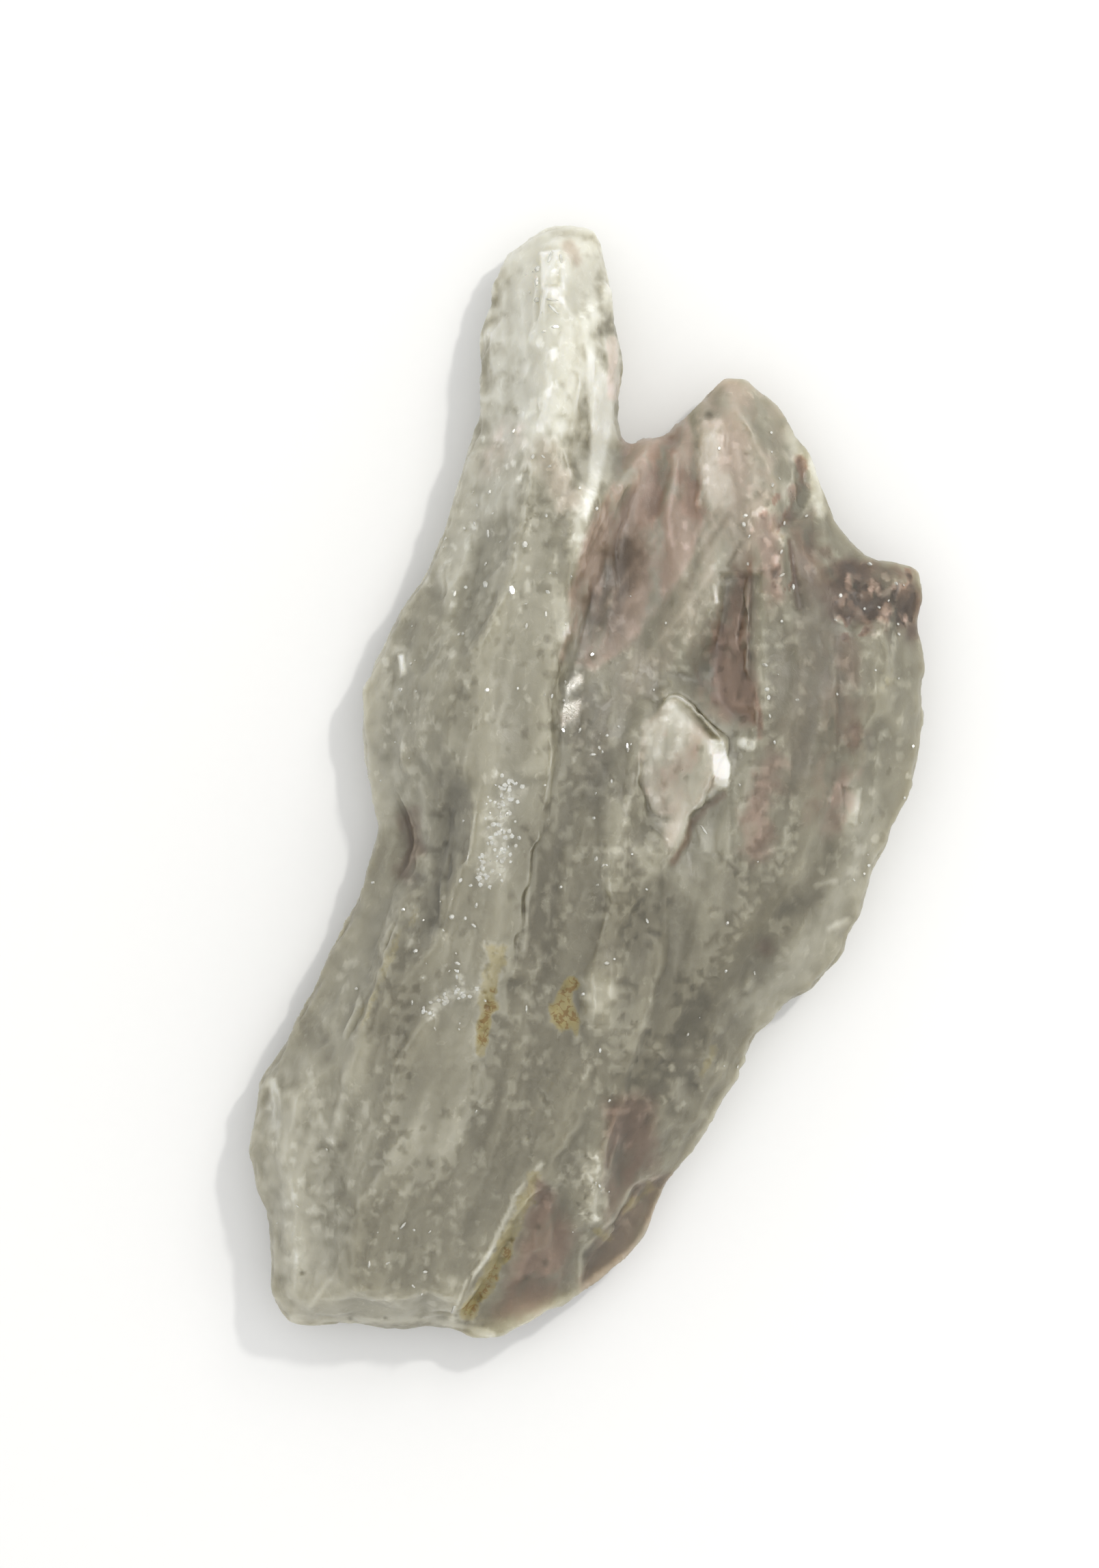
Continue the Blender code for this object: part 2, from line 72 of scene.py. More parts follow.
PICTURE_WIDTH = 1609
PICTURE_HEIGHT = 2296
PIXELS_PER_MM = 21.0
PICTURE_MIDDLE = (-2.6, -0.2)

Path = Sequence[tuple[float, float]]
Triple = tuple[float, float, float]
Colour = Triple
Field = np.ndarray


def srgb(red: float, green: float, blue: float) -> Colour:
    """Turn screen levels from 0 to 255 into a linear colour.

    Args:
        red: The red level.
        green: The green level.
        blue: The blue level.

    Returns:
        The three linear values.
    """
    levels = np.array((red, green, blue)) / 255.0
    linear = np.where(levels <= 0.04045, levels / 12.92, ((levels + 0.055) / 1.055) ** 2.4)
    return tuple(float(value) for value in linear)


def smooth(value: Field) -> Field:
    """Ease a value from 0 to 1, held at 0 below and at 1 above."""
    held = np.clip(value, 0.0, 1.0)
    return held * held * (3.0 - 2.0 * held)


def follow(path: Path, x: Field, y: Field) -> tuple[Field, Field, Field]:
    """Measure points against a path.

    Args:
        path: The path's points in millimetres.
        x: The points' places along X.
        y: The points' places along Y.

    Returns:
        The distance to the path, the side of it (+1 on its left) and the place along it in legs.
    """
    if len(path) == 1:
        distance = np.hypot(x - path[0][0], y - path[0][1])
        return distance, np.ones(x.shape), np.zeros(x.shape)
    nearest = np.full(x.shape, np.inf)
    side = np.ones(x.shape)
    place = np.zeros(x.shape)
    for index in range(len(path) - 1):
        start = np.array(path[index], dtype=float)
        leg = np.array(path[index + 1], dtype=float) - start
        from_x = x - start[0]
        from_y = y - start[1]
        share = np.clip((from_x * leg[0] + from_y * leg[1]) / leg.dot(leg), 0.0, 1.0)
        distance = np.hypot(from_x - share * leg[0], from_y - share * leg[1])
        nearer = distance < nearest
        nearest = np.where(nearer, distance, nearest)
        side = np.where(nearer, np.sign(leg[0] * from_y - leg[1] * from_x), side)
        place = np.where(nearer, index + share, place)
    return nearest, side, place


def inside(outline: Path, x: Field, y: Field) -> Field:
    """Tell which points lie inside a closed outline.

    Args:
        outline: The outline's corners.
        x: The points' places along X.
        y: The points' places along Y.

    Returns:
        True for each point inside.
    """
    within = np.zeros(x.shape, dtype=bool)
    for (x0, y0), (x1, y1) in zip(outline, tuple(outline[1:]) + (outline[0],)):
        if y0 == y1:
            continue
        spans = (y0 > y) != (y1 > y)
        within ^= spans & (x < (x1 - x0) * (y - y0) / (y1 - y0) + x0)
    return within


def inner_depth(outline: Path, x: Field, y: Field) -> Field:
    """Measure how far points lie inside a closed outline: the distance to it, below 0 outside."""
    distance, _, _ = follow(tuple(outline) + (outline[0],), x, y)
    return np.where(inside(outline, x, y), distance, -distance)


class GradientNoise:
    """A smooth random field over three axes, the same for the same seed."""

    SIZE = 256
    GAIN = 1.7

    def __init__(self, seed: int) -> None:
        """Draw the field's order and slopes.

        Args:
            seed: The seed that they are drawn from.
        """
        chance = np.random.default_rng(seed)
        self.order = chance.permutation(self.SIZE)
        slopes = chance.normal(size=(self.SIZE, 3))
        self.slopes = slopes / np.linalg.norm(slopes, axis=1)[:, None]

    def at(self, x: Field, y: Field, z: Field | float = 0.0) -> Field:
        """Read the field, from about -1 to 1.

        Args:
            x: Places along the first axis.
            y: Places along the second axis.
            z: Places along the third axis.

        Returns:
            The field's values.
        """
        places = np.stack(np.broadcast_arrays(x, y, np.asarray(z, dtype=float)))
        cells = np.floor(places).astype(int)
        offsets = places - cells
        fades = offsets**3 * (offsets * (offsets * 6.0 - 15.0) + 10.0)
        total = np.zeros(places.shape[1:])
        for corner in itertools.product((0, 1), repeat=3):
            key = self.order[(cells[0] + corner[0]) % self.SIZE]
            key = self.order[(key + cells[1] + corner[1]) % self.SIZE]
            key = self.order[(key + cells[2] + corner[2]) % self.SIZE]
            weight = np.ones(total.shape)
            rise = np.zeros(total.shape)
            for axis in range(3):
                weight = weight * (fades[axis] if corner[axis] else 1.0 - fades[axis])
                rise = rise + self.slopes[key, axis] * (offsets[axis] - corner[axis])
            total += weight * rise
        return self.GAIN * total

    def layered(self, x: Field, y: Field, z: Field | float, layers: int) -> Field:
        """Add finer and fainter copies of the field.

        Args:
            x: Places along the first axis.
            y: Places along the second axis.
            z: Places along the third axis.
            layers: How many copies, each twice as fine and half as strong.

        Returns:
            The sum of the copies.
        """
        total = np.zeros(np.shape(x))
        for layer in range(layers):
            scale = 2.0**layer
            total = total + self.at(x * scale, y * scale, z * scale + 7.3 * layer) / scale
        return total


@dataclass(frozen=True)
class GrowthLines:
    """The lines along which the crystals grew: they lean, bend, and fan out towards the right tips."""

    start: float = -6.5
    lean: float = 0.1895
    bend: float = 0.001244
    fan_from: float = 6.0
    fan_width: float = 8.0
    fan_amount: float = 1.4

    def places(self, x: Field, y: Field) -> tuple[Field, Field]:
        """Turn places on the stone into places across and along the growth lines.

        Args:
            x: The places along X.
            y: The places along Y.

        Returns:
            The places across the growth lines and along them.
        """
        fan = np.clip(x / self.fan_width, 0.0, 1.0)
        bent = y - fan * self.fan_amount * np.maximum(y - self.fan_from, 0.0)
        return x - (self.start + self.lean * bent - self.bend * bent * bent), y


class Trait(Enum):
    """What is painted on the stone, each kept as an attribute of its mesh."""

    TONE = "tone"
    SHIFT = "shift"
    CALM = "calm"
    MAUVE = "mauve"
    IRON = "iron"
    CLEAR = "clear"
    GLOSS = "gloss"
    DRUSE = "druse"


class Low(Enum):
    """The side of a ledge's path that lies lower, as one walks along it."""

    LEFT = 1
    RIGHT = -1


@dataclass(frozen=True)
class Mark:
    """A stroke along a path on the front: what it adds to the height, and the look that it gives.

    The reach is half the stroke's width. The part of it that is soft fades out, and the edge is frayed.
    """

    path: Path
    reach: float
    looks: Mapping[Trait, float] = field(default_factory=dict)
    height: float = 0.0
    soft: float = 1.0
    fray: float = 0.35

    def cover(self, x: Field, y: Field, ragged: Field) -> Field:
        """Say how much of the stroke lies on each point.

        Args:
            x: The points' places along X.
            y: Their places along Y.
            ragged: The noise that frays the stroke's edge.

        Returns:
            The share of the stroke at each point, from 0 to 1.
        """
        distance, _, _ = follow(self.path, x, y)
        edge = distance + self.fray * self.reach * ragged
        return smooth((self.reach - edge) / (self.soft * self.reach))


@dataclass(frozen=True)
class Zone:
    """An area inside an outline with its own look, such as a clear window or a whole crystal."""

    outline: Path
    looks: Mapping[Trait, float]
    edge: float = 0.5
    fray: float = 0.5

    def cover(self, x: Field, y: Field, ragged: Field) -> Field:
        """Say how much of the zone lies on each point, from 0 to 1, with an edge frayed by the noise."""
        depth = inner_depth(self.outline, x, y) + self.fray * self.edge * ragged
        return smooth(0.5 + 0.5 * depth / self.edge)


@dataclass(frozen=True)
class Ledge:
    """A break in the surface along a path: the low side drops at once and comes back over the reach."""

    path: Path
    low: Low
    drop: float
    reach: float = 1.2
    ramp: float = 0.3
    fray: float = 0.15
    end_depth: float = 0.1
    end_rise: float = 1.5

    def depth(self, x: Field, y: Field, ragged: Field) -> Field:
        """Say how far the ledge lowers each point.

        Args:
            x: The points' places along X.
            y: Their places along Y.
            ragged: The noise that frays the ledge's line.

        Returns:
            The depth at each point in millimetres.
        """
        distance, side, place = follow(self.path, x, y)
        signed = distance * side * self.low.value + self.fray * ragged
        legs_to_end = np.minimum(place, len(self.path) - 1 - place)
        ends = np.clip(legs_to_end * self.end_rise + self.end_depth, 0.0, 1.0)
        away = np.maximum(signed, 0.0)
        return self.drop * smooth(away / self.ramp) * np.exp(-away / self.reach) * ends


@dataclass(frozen=True)
class Facet:
    """A flat broken face inside an outline, tilted by a slope towards X and towards Y."""

    outline: Path
    tilt: tuple[float, float]
    looks: Mapping[Trait, float] = field(default_factory=dict)
    flatness: float = 0.8
    edge: float = 0.3

    def cover(self, x: Field, y: Field) -> Field:
        """Say how much of the facet lies on each point, from 0 to 1."""
        return smooth(inner_depth(self.outline, x, y) / self.edge)


def dab(x: float, y: float, reach: float, looks: Mapping[Trait, float], **more: float) -> Mark:
    """Make a round mark: a pit, a spot or a fleck."""
    return Mark(((x, y),), reach, looks, **more)


def look(level: float, **traits: float) -> dict[Trait, float]:
    """Give the look of a tone, named by its screen level from 0 to 255, such as look(110, mauve=0.6)."""
    return {Trait.TONE: level, **{Trait(name): value for name, value in traits.items()}}


def shift(amount: float, **traits: float) -> dict[Trait, float]:
    """Give the look of what lies below with its tone raised or lowered, such as shift(-12, iron=0.3)."""
    return {Trait.SHIFT: amount, **{Trait(name): value for name, value in traits.items()}}


# The crumbs' lean in radians, their length and half width in usual half widths, and how high they stand
CRUMB_LEAN = (0.6, 2.4)
CRUMB_LENGTH = (0.6, 2.4)
CRUMB_REACH = (0.5, 1.2)
PIT_HEIGHT = -0.5
FLECK_HEIGHT = 0.35


def crumbs(seed: int, box: tuple[float, float, float, float], count: int, dark: Mapping[Trait, float],
           light: Mapping[Trait, float], size: float = 0.3) -> tuple[Mark, ...]:
    """Strew small pits and flecks over crumbly ground.

    Args:
        seed: The seed of their places.
        box: The ground's least X, greatest X, least Y and greatest Y.
        count: How many there are.
        dark: The look of a pit.
        light: The look of a fleck.
        size: Their usual half width.

    Returns:
        The pits and flecks as marks.
    """
    chance = np.random.default_rng(seed)
    found = []
    for index in range(count):
        x, y = chance.uniform(box[0], box[1]), chance.uniform(box[2], box[3])
        lean, length = chance.uniform(*CRUMB_LEAN), chance.uniform(*CRUMB_LENGTH) * size
        path = ((x, y), (x + length * math.cos(lean), y + length * math.sin(lean)))
        reach = size * chance.uniform(*CRUMB_REACH)
        looks, rise = (dark, PIT_HEIGHT) if index % 2 else (light, FLECK_HEIGHT)
        found.append(Mark(path, reach, looks, rise * size, soft=0.4, fray=0.8))
    return tuple(found)


# The tone of the stone where nothing else is painted
PLAIN_TONE = 112.0

# Whole crystals and clear windows, painted before all else
ZONES = (
    Zone(((2.6, 26.0), (2.3, 23.1), (1.8, 20.5), (0.6, 18.7), (-0.2, 16.5), (-0.8, 14.2), (-1.3, 13.0),
          (-1.0, 11.0), (-1.7, 9.3), (-1.9, 8.2), (0.4, 7.6), (3.4, 9.6), (6.6, 14.0), (8.4, 18.6),
          (7.6, 22.4), (7.0, 25.4)), look(156, mauve=0.7, clear=0.25, calm=0.5), edge=0.3),
    Zone(((11.0, 16.0), (9.4, 12.2), (7.2, 8.4), (7.4, 5.8), (9.6, 4.4), (11.5, 4.2), (11.25, 8.0),
          (11.1, 12.0)), look(96, mauve=1.3, clear=0.2, calm=0.7), edge=0.8),
    Zone(((-3.4, -27.4), (-2.0, -29.0), (-0.9, -31.6), (-1.2, -34.8), (-3.6, -37.0), (-6.4, -37.4),
          (-4.4, -31.6)), look(108, mauve=0.9, clear=0.25, calm=0.4), edge=0.7),
    Zone(((-0.4, -32.8), (1.2, -31.0), (2.6, -29.4), (3.4, -28.0), (7.4, -27.0), (6.6, -30.4), (3.2, -34.2),
          (-0.4, -36.0)), look(92, mauve=0.6, clear=0.2, calm=0.6), edge=0.4),
    Zone(((1.4, -22.0), (4.4, -21.6), (4.8, -26.6), (3.0, -28.2), (1.7, -30.4), (1.35, -26.0)),
         look(100, mauve=0.9, clear=0.3, calm=0.7), edge=0.7),
    Zone(((20.4, 6.4), (24.6, 7.0), (24.6, -1.0), (22.4, -5.0), (19.4, -5.0), (19.5, 0.0)),
         look(118, calm=0.7), edge=1.0),
)

# The long blade on the left, from the prong at its tip down to the waist
BLADE_MARKS = (
    Mark(((-11.5, -10.0), (-7.5, 3.0), (-5.5, 13.0), (-3.6, 22.0)), 7.5, look(113)),
    Mark(((-11.6, -2.0), (-11.4, 4.0), (-9.6, 11.0), (-8.2, 17.0)), 3.6, look(130)),
    Mark(((-5.4, 14.4), (-4.8, 20.0)), 4.6, look(131)),
    Mark(((-9.6, 15.0), (-7.8, 21.0)), 3.0, look(162)),
    Mark(((-6.4, 20.4), (-5.8, 26.0)), 3.6, look(178)),
    Mark(((-3.3, 24.6), (-2.8, 27.0)), 4.6, look(210, calm=0.4), soft=0.9),
    Mark(((-3.0, 30.5), (-2.3, 39.0)), 6.2, look(198, calm=0.5), soft=0.6),
    Mark(((-6.6, 22.0), (-5.4, 24.0)), 1.6, shift(-6, mauve=0.3)),
    Mark(((-3.0, 22.5), (-1.4, 19.5)), 1.8, look(152, mauve=0.25)),
    # Painted light on the bevels along the long blade's wall and the ledge beside it, which face the light
    Mark(((-0.7, 16.0), (-0.5, 19.0), (0.0, 22.0)), 0.9, look(172, calm=0.4)),
    Mark(((1.4, 27.6), (1.8, 24.0), (1.2, 21.0)), 0.9, look(176, calm=0.6)),
    Mark(((1.9, 30.5), (1.9, 27.0)), 0.6, look(186, mauve=0.4), soft=0.5),
    Mark(((-1.9, 12.5), (-1.6, 10.2)), 0.7, shift(24), soft=0.5),
    Mark(((-7.2, 31.5), (-7.2, 26.0)), 0.8, shift(8)),
    Mark(((-2.2, 38.3), (0.6, 37.9)), 0.8, shift(-26)),
    Mark(((-1.2, 37.2), (-0.9, 36.2)), 0.7, look(164, mauve=0.3), soft=0.8),
    Mark(((-5.4, 35.0), (-5.3, 30.0), (-5.6, 25.0)), 0.5, shift(-12), height=-0.15),
    Mark(((-4.6, 34.0), (-4.2, 28.0)), 0.45, shift(12), height=0.15),
    Mark(((-0.9, 33.0), (-0.6, 28.0), (-1.2, 23.0)), 0.4, shift(-8), height=-0.06),
    Mark(((-2.0, 26.0), (-1.8, 21.0)), 0.35, shift(10)),
    Mark(((-14.6, 9.0), (-15.2, 3.0), (-14.4, -2.0)), 3.0, look(158, calm=0.4)),
    Mark(((-11.2, 14.9), (-12.2, 13.2), (-13.2, 11.6)), 0.7, shift(30), soft=0.6),
    Mark(((-13.2, 0.0), (-13.4, 5.0), (-12.6, 9.0)), 0.5, shift(14), height=0.15),
    Mark(((-12.4, -2.4), (-12.0, -4.6), (-12.6, -6.4)), 1.1, look(106, clear=0.3, mauve=0.6), height=-0.2),
    Mark(((-10.4, -9.5), (-9.9, -5.0), (-9.2, 0.0)), 1.9, look(90, clear=0.2)),
    Mark(((-11.4, -0.5), (-11.0, -6.5)), 0.5, shift(14), height=0.1),
    Mark(((-3.4, -3.5), (-3.2, -12.0)), 2.6, look(92)),
    Mark(((-1.2, 10.0), (-2.6, 5.6), (-2.3, 2.6)), 0.4, shift(-24), height=-0.15),
    Mark(((-8.2, 4.0), (-6.0, 2.0)), 2.6, look(112)),
    Mark(((-9.6, 12.0), (-8.4, 17.0), (-7.8, 19.4)), 0.9, shift(12)),
    Mark(((-5.0, 9.0), (-6.2, 3.0), (-6.6, 0.0)), 0.4, shift(9)),
    *crumbs(1, (-10.5, -2.0, 9.0, 24.0), 44, shift(-5), shift(22), 0.2),
    *crumbs(2, (-14.6, -11.4, 1.0, 9.0), 14, shift(-6), shift(24), 0.22),
    *crumbs(3, (-9.4, -3.0, -1.0, 9.0), 14, shift(-5), shift(20), 0.2),
)

# The clearer crystals on the right, from the right prong down to the shoulder and the rim
RIGHT_MARKS = (
    Mark(((2.8, 15.6), (1.2, 11.0)), 2.5, look(82, mauve=0.8, clear=0.2, calm=0.6)),
    Mark(((0.2, 5.5), (0.6, -1.0)), 1.9, look(110, mauve=0.15, clear=0.3)),
    Mark(((10.4, 27.5), (10.2, 22.0), (10.6, 17.5)), 4.2, look(152, mauve=0.5, clear=0.15)),
    Mark(((12.4, 25.4), (13.2, 24.0)), 1.4, look(132, mauve=0.2)),
    # Painted light on the right prong's faces that face the light
    Mark(((8.6, 24.6), (8.9, 21.8)), 1.1, shift(34), fray=0.5),
    Mark(((8.8, 20.6), (9.4, 19.4)), 1.1, shift(20), fray=0.5),
    Mark(((7.7, 22.8), (7.8, 20.0)), 0.35, shift(24), height=0.12),
    Mark(((6.7, 25.4), (7.3, 24.0)), 0.7, shift(22)),
    Mark(((14.2, 24.0), (14.6, 22.8)), 1.0, look(166)),
    Mark(((15.8, 22.2), (16.0, 20.6), (16.3, 18.6)), 0.6, look(168, calm=0.4), soft=0.7),
    Mark(((13.8, 20.6), (13.9, 19.0)), 0.5, shift(34), soft=0.7),
    Mark(((15.0, 22.1), (15.0, 20.8)), 0.55, look(108, mauve=1.3, gloss=0.5), soft=0.8, fray=0.8,
         height=-0.35),
    Mark(((14.7, 20.4), (14.0, 18.6)), 0.55, look(104, mauve=1.3, gloss=0.5), soft=0.8, fray=0.8,
         height=-0.35),
    Mark(((13.7, 18.0), (13.3, 17.6)), 0.35, look(110, mauve=1.0, iron=0.4), fray=0.8, height=-0.25),
    Mark(((14.4, 22.4), (14.3, 21.2), (14.1, 20.2)), 0.25, shift(36), fray=0.8, height=0.12),
    Mark(((15.7, 19.8), (15.0, 18.6), (14.4, 17.8)), 0.25, shift(34), fray=0.8, height=0.12),
    dab(8.5, 25.4, 0.5, shift(-46), height=-0.35),
    Mark(((5.2, 23.3), (5.0, 21.0), (4.4, 18.4)), 1.1, look(124, mauve=1.5, clear=0.2)),
    Mark(((6.6, 21.2), (7.4, 20.4)), 1.0, look(126, mauve=1.5, clear=0.2)),
    Mark(((6.5, 19.6), (7.8, 18.6)), 1.1, look(130, mauve=1.3, clear=0.2)),
    Mark(((6.1, 22.6), (6.1, 20.4), (5.6, 18.4), (5.9, 16.4)), 0.35, shift(28), height=0.12),
    Mark(((10.6, 17.6), (7.4, 12.8)), 2.6, look(152, mauve=0.25, calm=0.4)),
    Mark(((7.2, 12.4), (3.4, 7.0)), 2.6, look(122, mauve=0.2, calm=0.4)),
    Mark(((0.8, 11.5), (3.0, 14.6), (5.2, 17.4)), 0.3, shift(22)),
    Mark(((0.4, 9.0), (2.2, 11.2), (4.0, 14.6), (5.6, 17.0)), 0.5, shift(14)),
    Mark(((2.4, 9.4), (5.6, 13.2), (8.8, 17.6)), 0.4, shift(16)),
    Mark(((3.9, 8.2), (7.6, 13.0), (9.4, 15.6)), 0.3, shift(18)),
    Mark(((-0.2, 14.4), (1.4, 17.4), (2.2, 20.4)), 0.4, shift(12)),
    Mark(((3.4, 18.0), (3.6, 21.0), (4.4, 24.0)), 0.3, shift(16)),
    Mark(((7.0, 16.0), (8.6, 18.6)), 0.5, shift(16)),
    Mark(((6.4, 9.6), (8.6, 13.0)), 0.3, shift(9)),
    Mark(((11.0, 17.0), (9.8, 18.4), (7.8, 15.6), (6.9, 13.4)), 0.4, shift(-14), height=-0.12),
    Mark(((10.6, 16.4), (9.8, 14.9)), 0.3, shift(-28), height=-0.15),
    Mark(((10.8, 8.4), (10.9, 6.0)), 1.1, look(90, mauve=1.4, clear=0.3, calm=0.7)),
    Mark(((10.2, 12.6), (9.4, 9.6)), 0.3, shift(12)),
    Mark(((8.9, 7.8), (9.2, 5.6)), 0.25, shift(14)),
    Mark(((11.25, 15.0), (11.2, 12.0), (11.05, 9.4), (11.3, 6.8), (11.9, 4.6), (11.9, 3.0)), 0.25,
         shift(-14, mauve=1.3), height=-0.1),
    Mark(((11.7, 14.4), (11.6, 9.6), (11.9, 7.0)), 0.35, shift(20), height=0.1),
    Mark(((14.0, 16.6), (14.3, 14.2), (14.7, 12.0)), 0.35, shift(-30, mauve=1.2), height=-0.35),
    Mark(((12.4, 17.4), (13.0, 13.0)), 1.4, look(118, mauve=0.9, clear=0.3)),
    Mark(((15.0, 17.6), (15.8, 12.6)), 1.6, look(98, mauve=0.9, clear=0.3)),
    Mark(((16.4, 12.0), (15.2, 6.0), (14.6, 1.0)), 3.6, look(92, mauve=0.15, calm=0.7)),
    Mark(((17.4, 9.0), (17.4, 3.0)), 2.2, look(94, mauve=0.6, calm=0.4)),
    Mark(((18.2, 13.4), (20.0, 12.6), (22.0, 12.2)), 3.0, look(66, mauve=1.3, clear=0.2), soft=0.8),
    dab(18.7, 2.8, 1.5, look(100, mauve=1.2, clear=0.4)),
    Mark(((17.4, 0.6), (16.6, -2.4)), 2.0, look(118, mauve=0.8, clear=0.3)),
    Mark(((12.8, 1.0), (11.6, -2.0), (11.8, -4.6)), 1.6, look(114, mauve=0.8, clear=0.3)),
    Mark(((19.0, -1.6), (19.0, -6.0), (16.4, -10.6), (12.2, -15.6)), 2.8, look(146, calm=0.4)),
    Mark(((18.4, -0.4), (18.2, -3.0)), 0.9, shift(22), fray=0.5),
    Mark(((16.2, -4.4), (13.4, -8.8), (10.6, -12.6)), 2.9, look(84, calm=0.8)),
    Mark(((16.2, -3.4), (14.4, -6.8)), 1.6, shift(32, calm=0.3)),
    Mark(((17.2, -6.9), (15.8, -7.2)), 0.35, shift(24), height=0.1),
    Mark(((16.9, -10.2), (18.2, -9.6)), 0.45, shift(34), height=0.15),
    dab(12.2, -11.4, 0.9, shift(-6, mauve=0.7)),
    *crumbs(5, (17.6, 22.8, 9.8, 14.2), 44, shift(-16, mauve=1.6), shift(36)),
    *crumbs(6, (11.4, 14.2, 12.8, 19.4), 16, shift(-18, mauve=1.3), shift(32), 0.25),
    *crumbs(7, (-1.8, 2.2, 0.0, 8.6), 16, shift(-10), shift(30), 0.2),
    *crumbs(8, (19.2, 22.6, -6.6, 3.0), 10, shift(-10), shift(24), 0.2),
    Mark(((11.4, -5.3), (13.5, -4.5)), 0.3, shift(18), height=0.1),
    Mark(((9.9, 0.0), (9.95, -5.0)), 0.25, shift(-14), height=-0.12),
    Mark(((10.7, 2.6), (11.3, 2.5)), 0.5, look(182, calm=0.8), soft=0.5, fray=0.1),
    Mark(((8.6, -3.2), (8.3, -5.0)), 0.8, shift(14, iron=0.18), soft=0.6),
    Mark(((5.3, 4.7), (6.3, 3.5)), 0.9, shift(26, calm=0.6), fray=0.2),
    Mark(((4.5, 2.0), (4.3, 0.0)), 0.8, shift(12, calm=0.6)),
    Mark(((5.2, -1.4), (7.0, -1.4), (8.4, -0.4)), 0.7, shift(16, calm=0.6)),
    # Painted light on the lip of the step at the pearly facet's lower right, and painted shade at its foot
    Mark(((5.3, -5.8), (6.4, -3.9), (6.9, -2.2), (7.9, -1.15), (9.2, -0.25)), 0.22, shift(30), fray=0.1),
    Mark(((5.9, -5.5), (6.8, -4.2), (7.3, -2.8), (8.3, -1.75), (9.4, -0.95)), 0.4, shift(-26, mauve=0.6)),
)

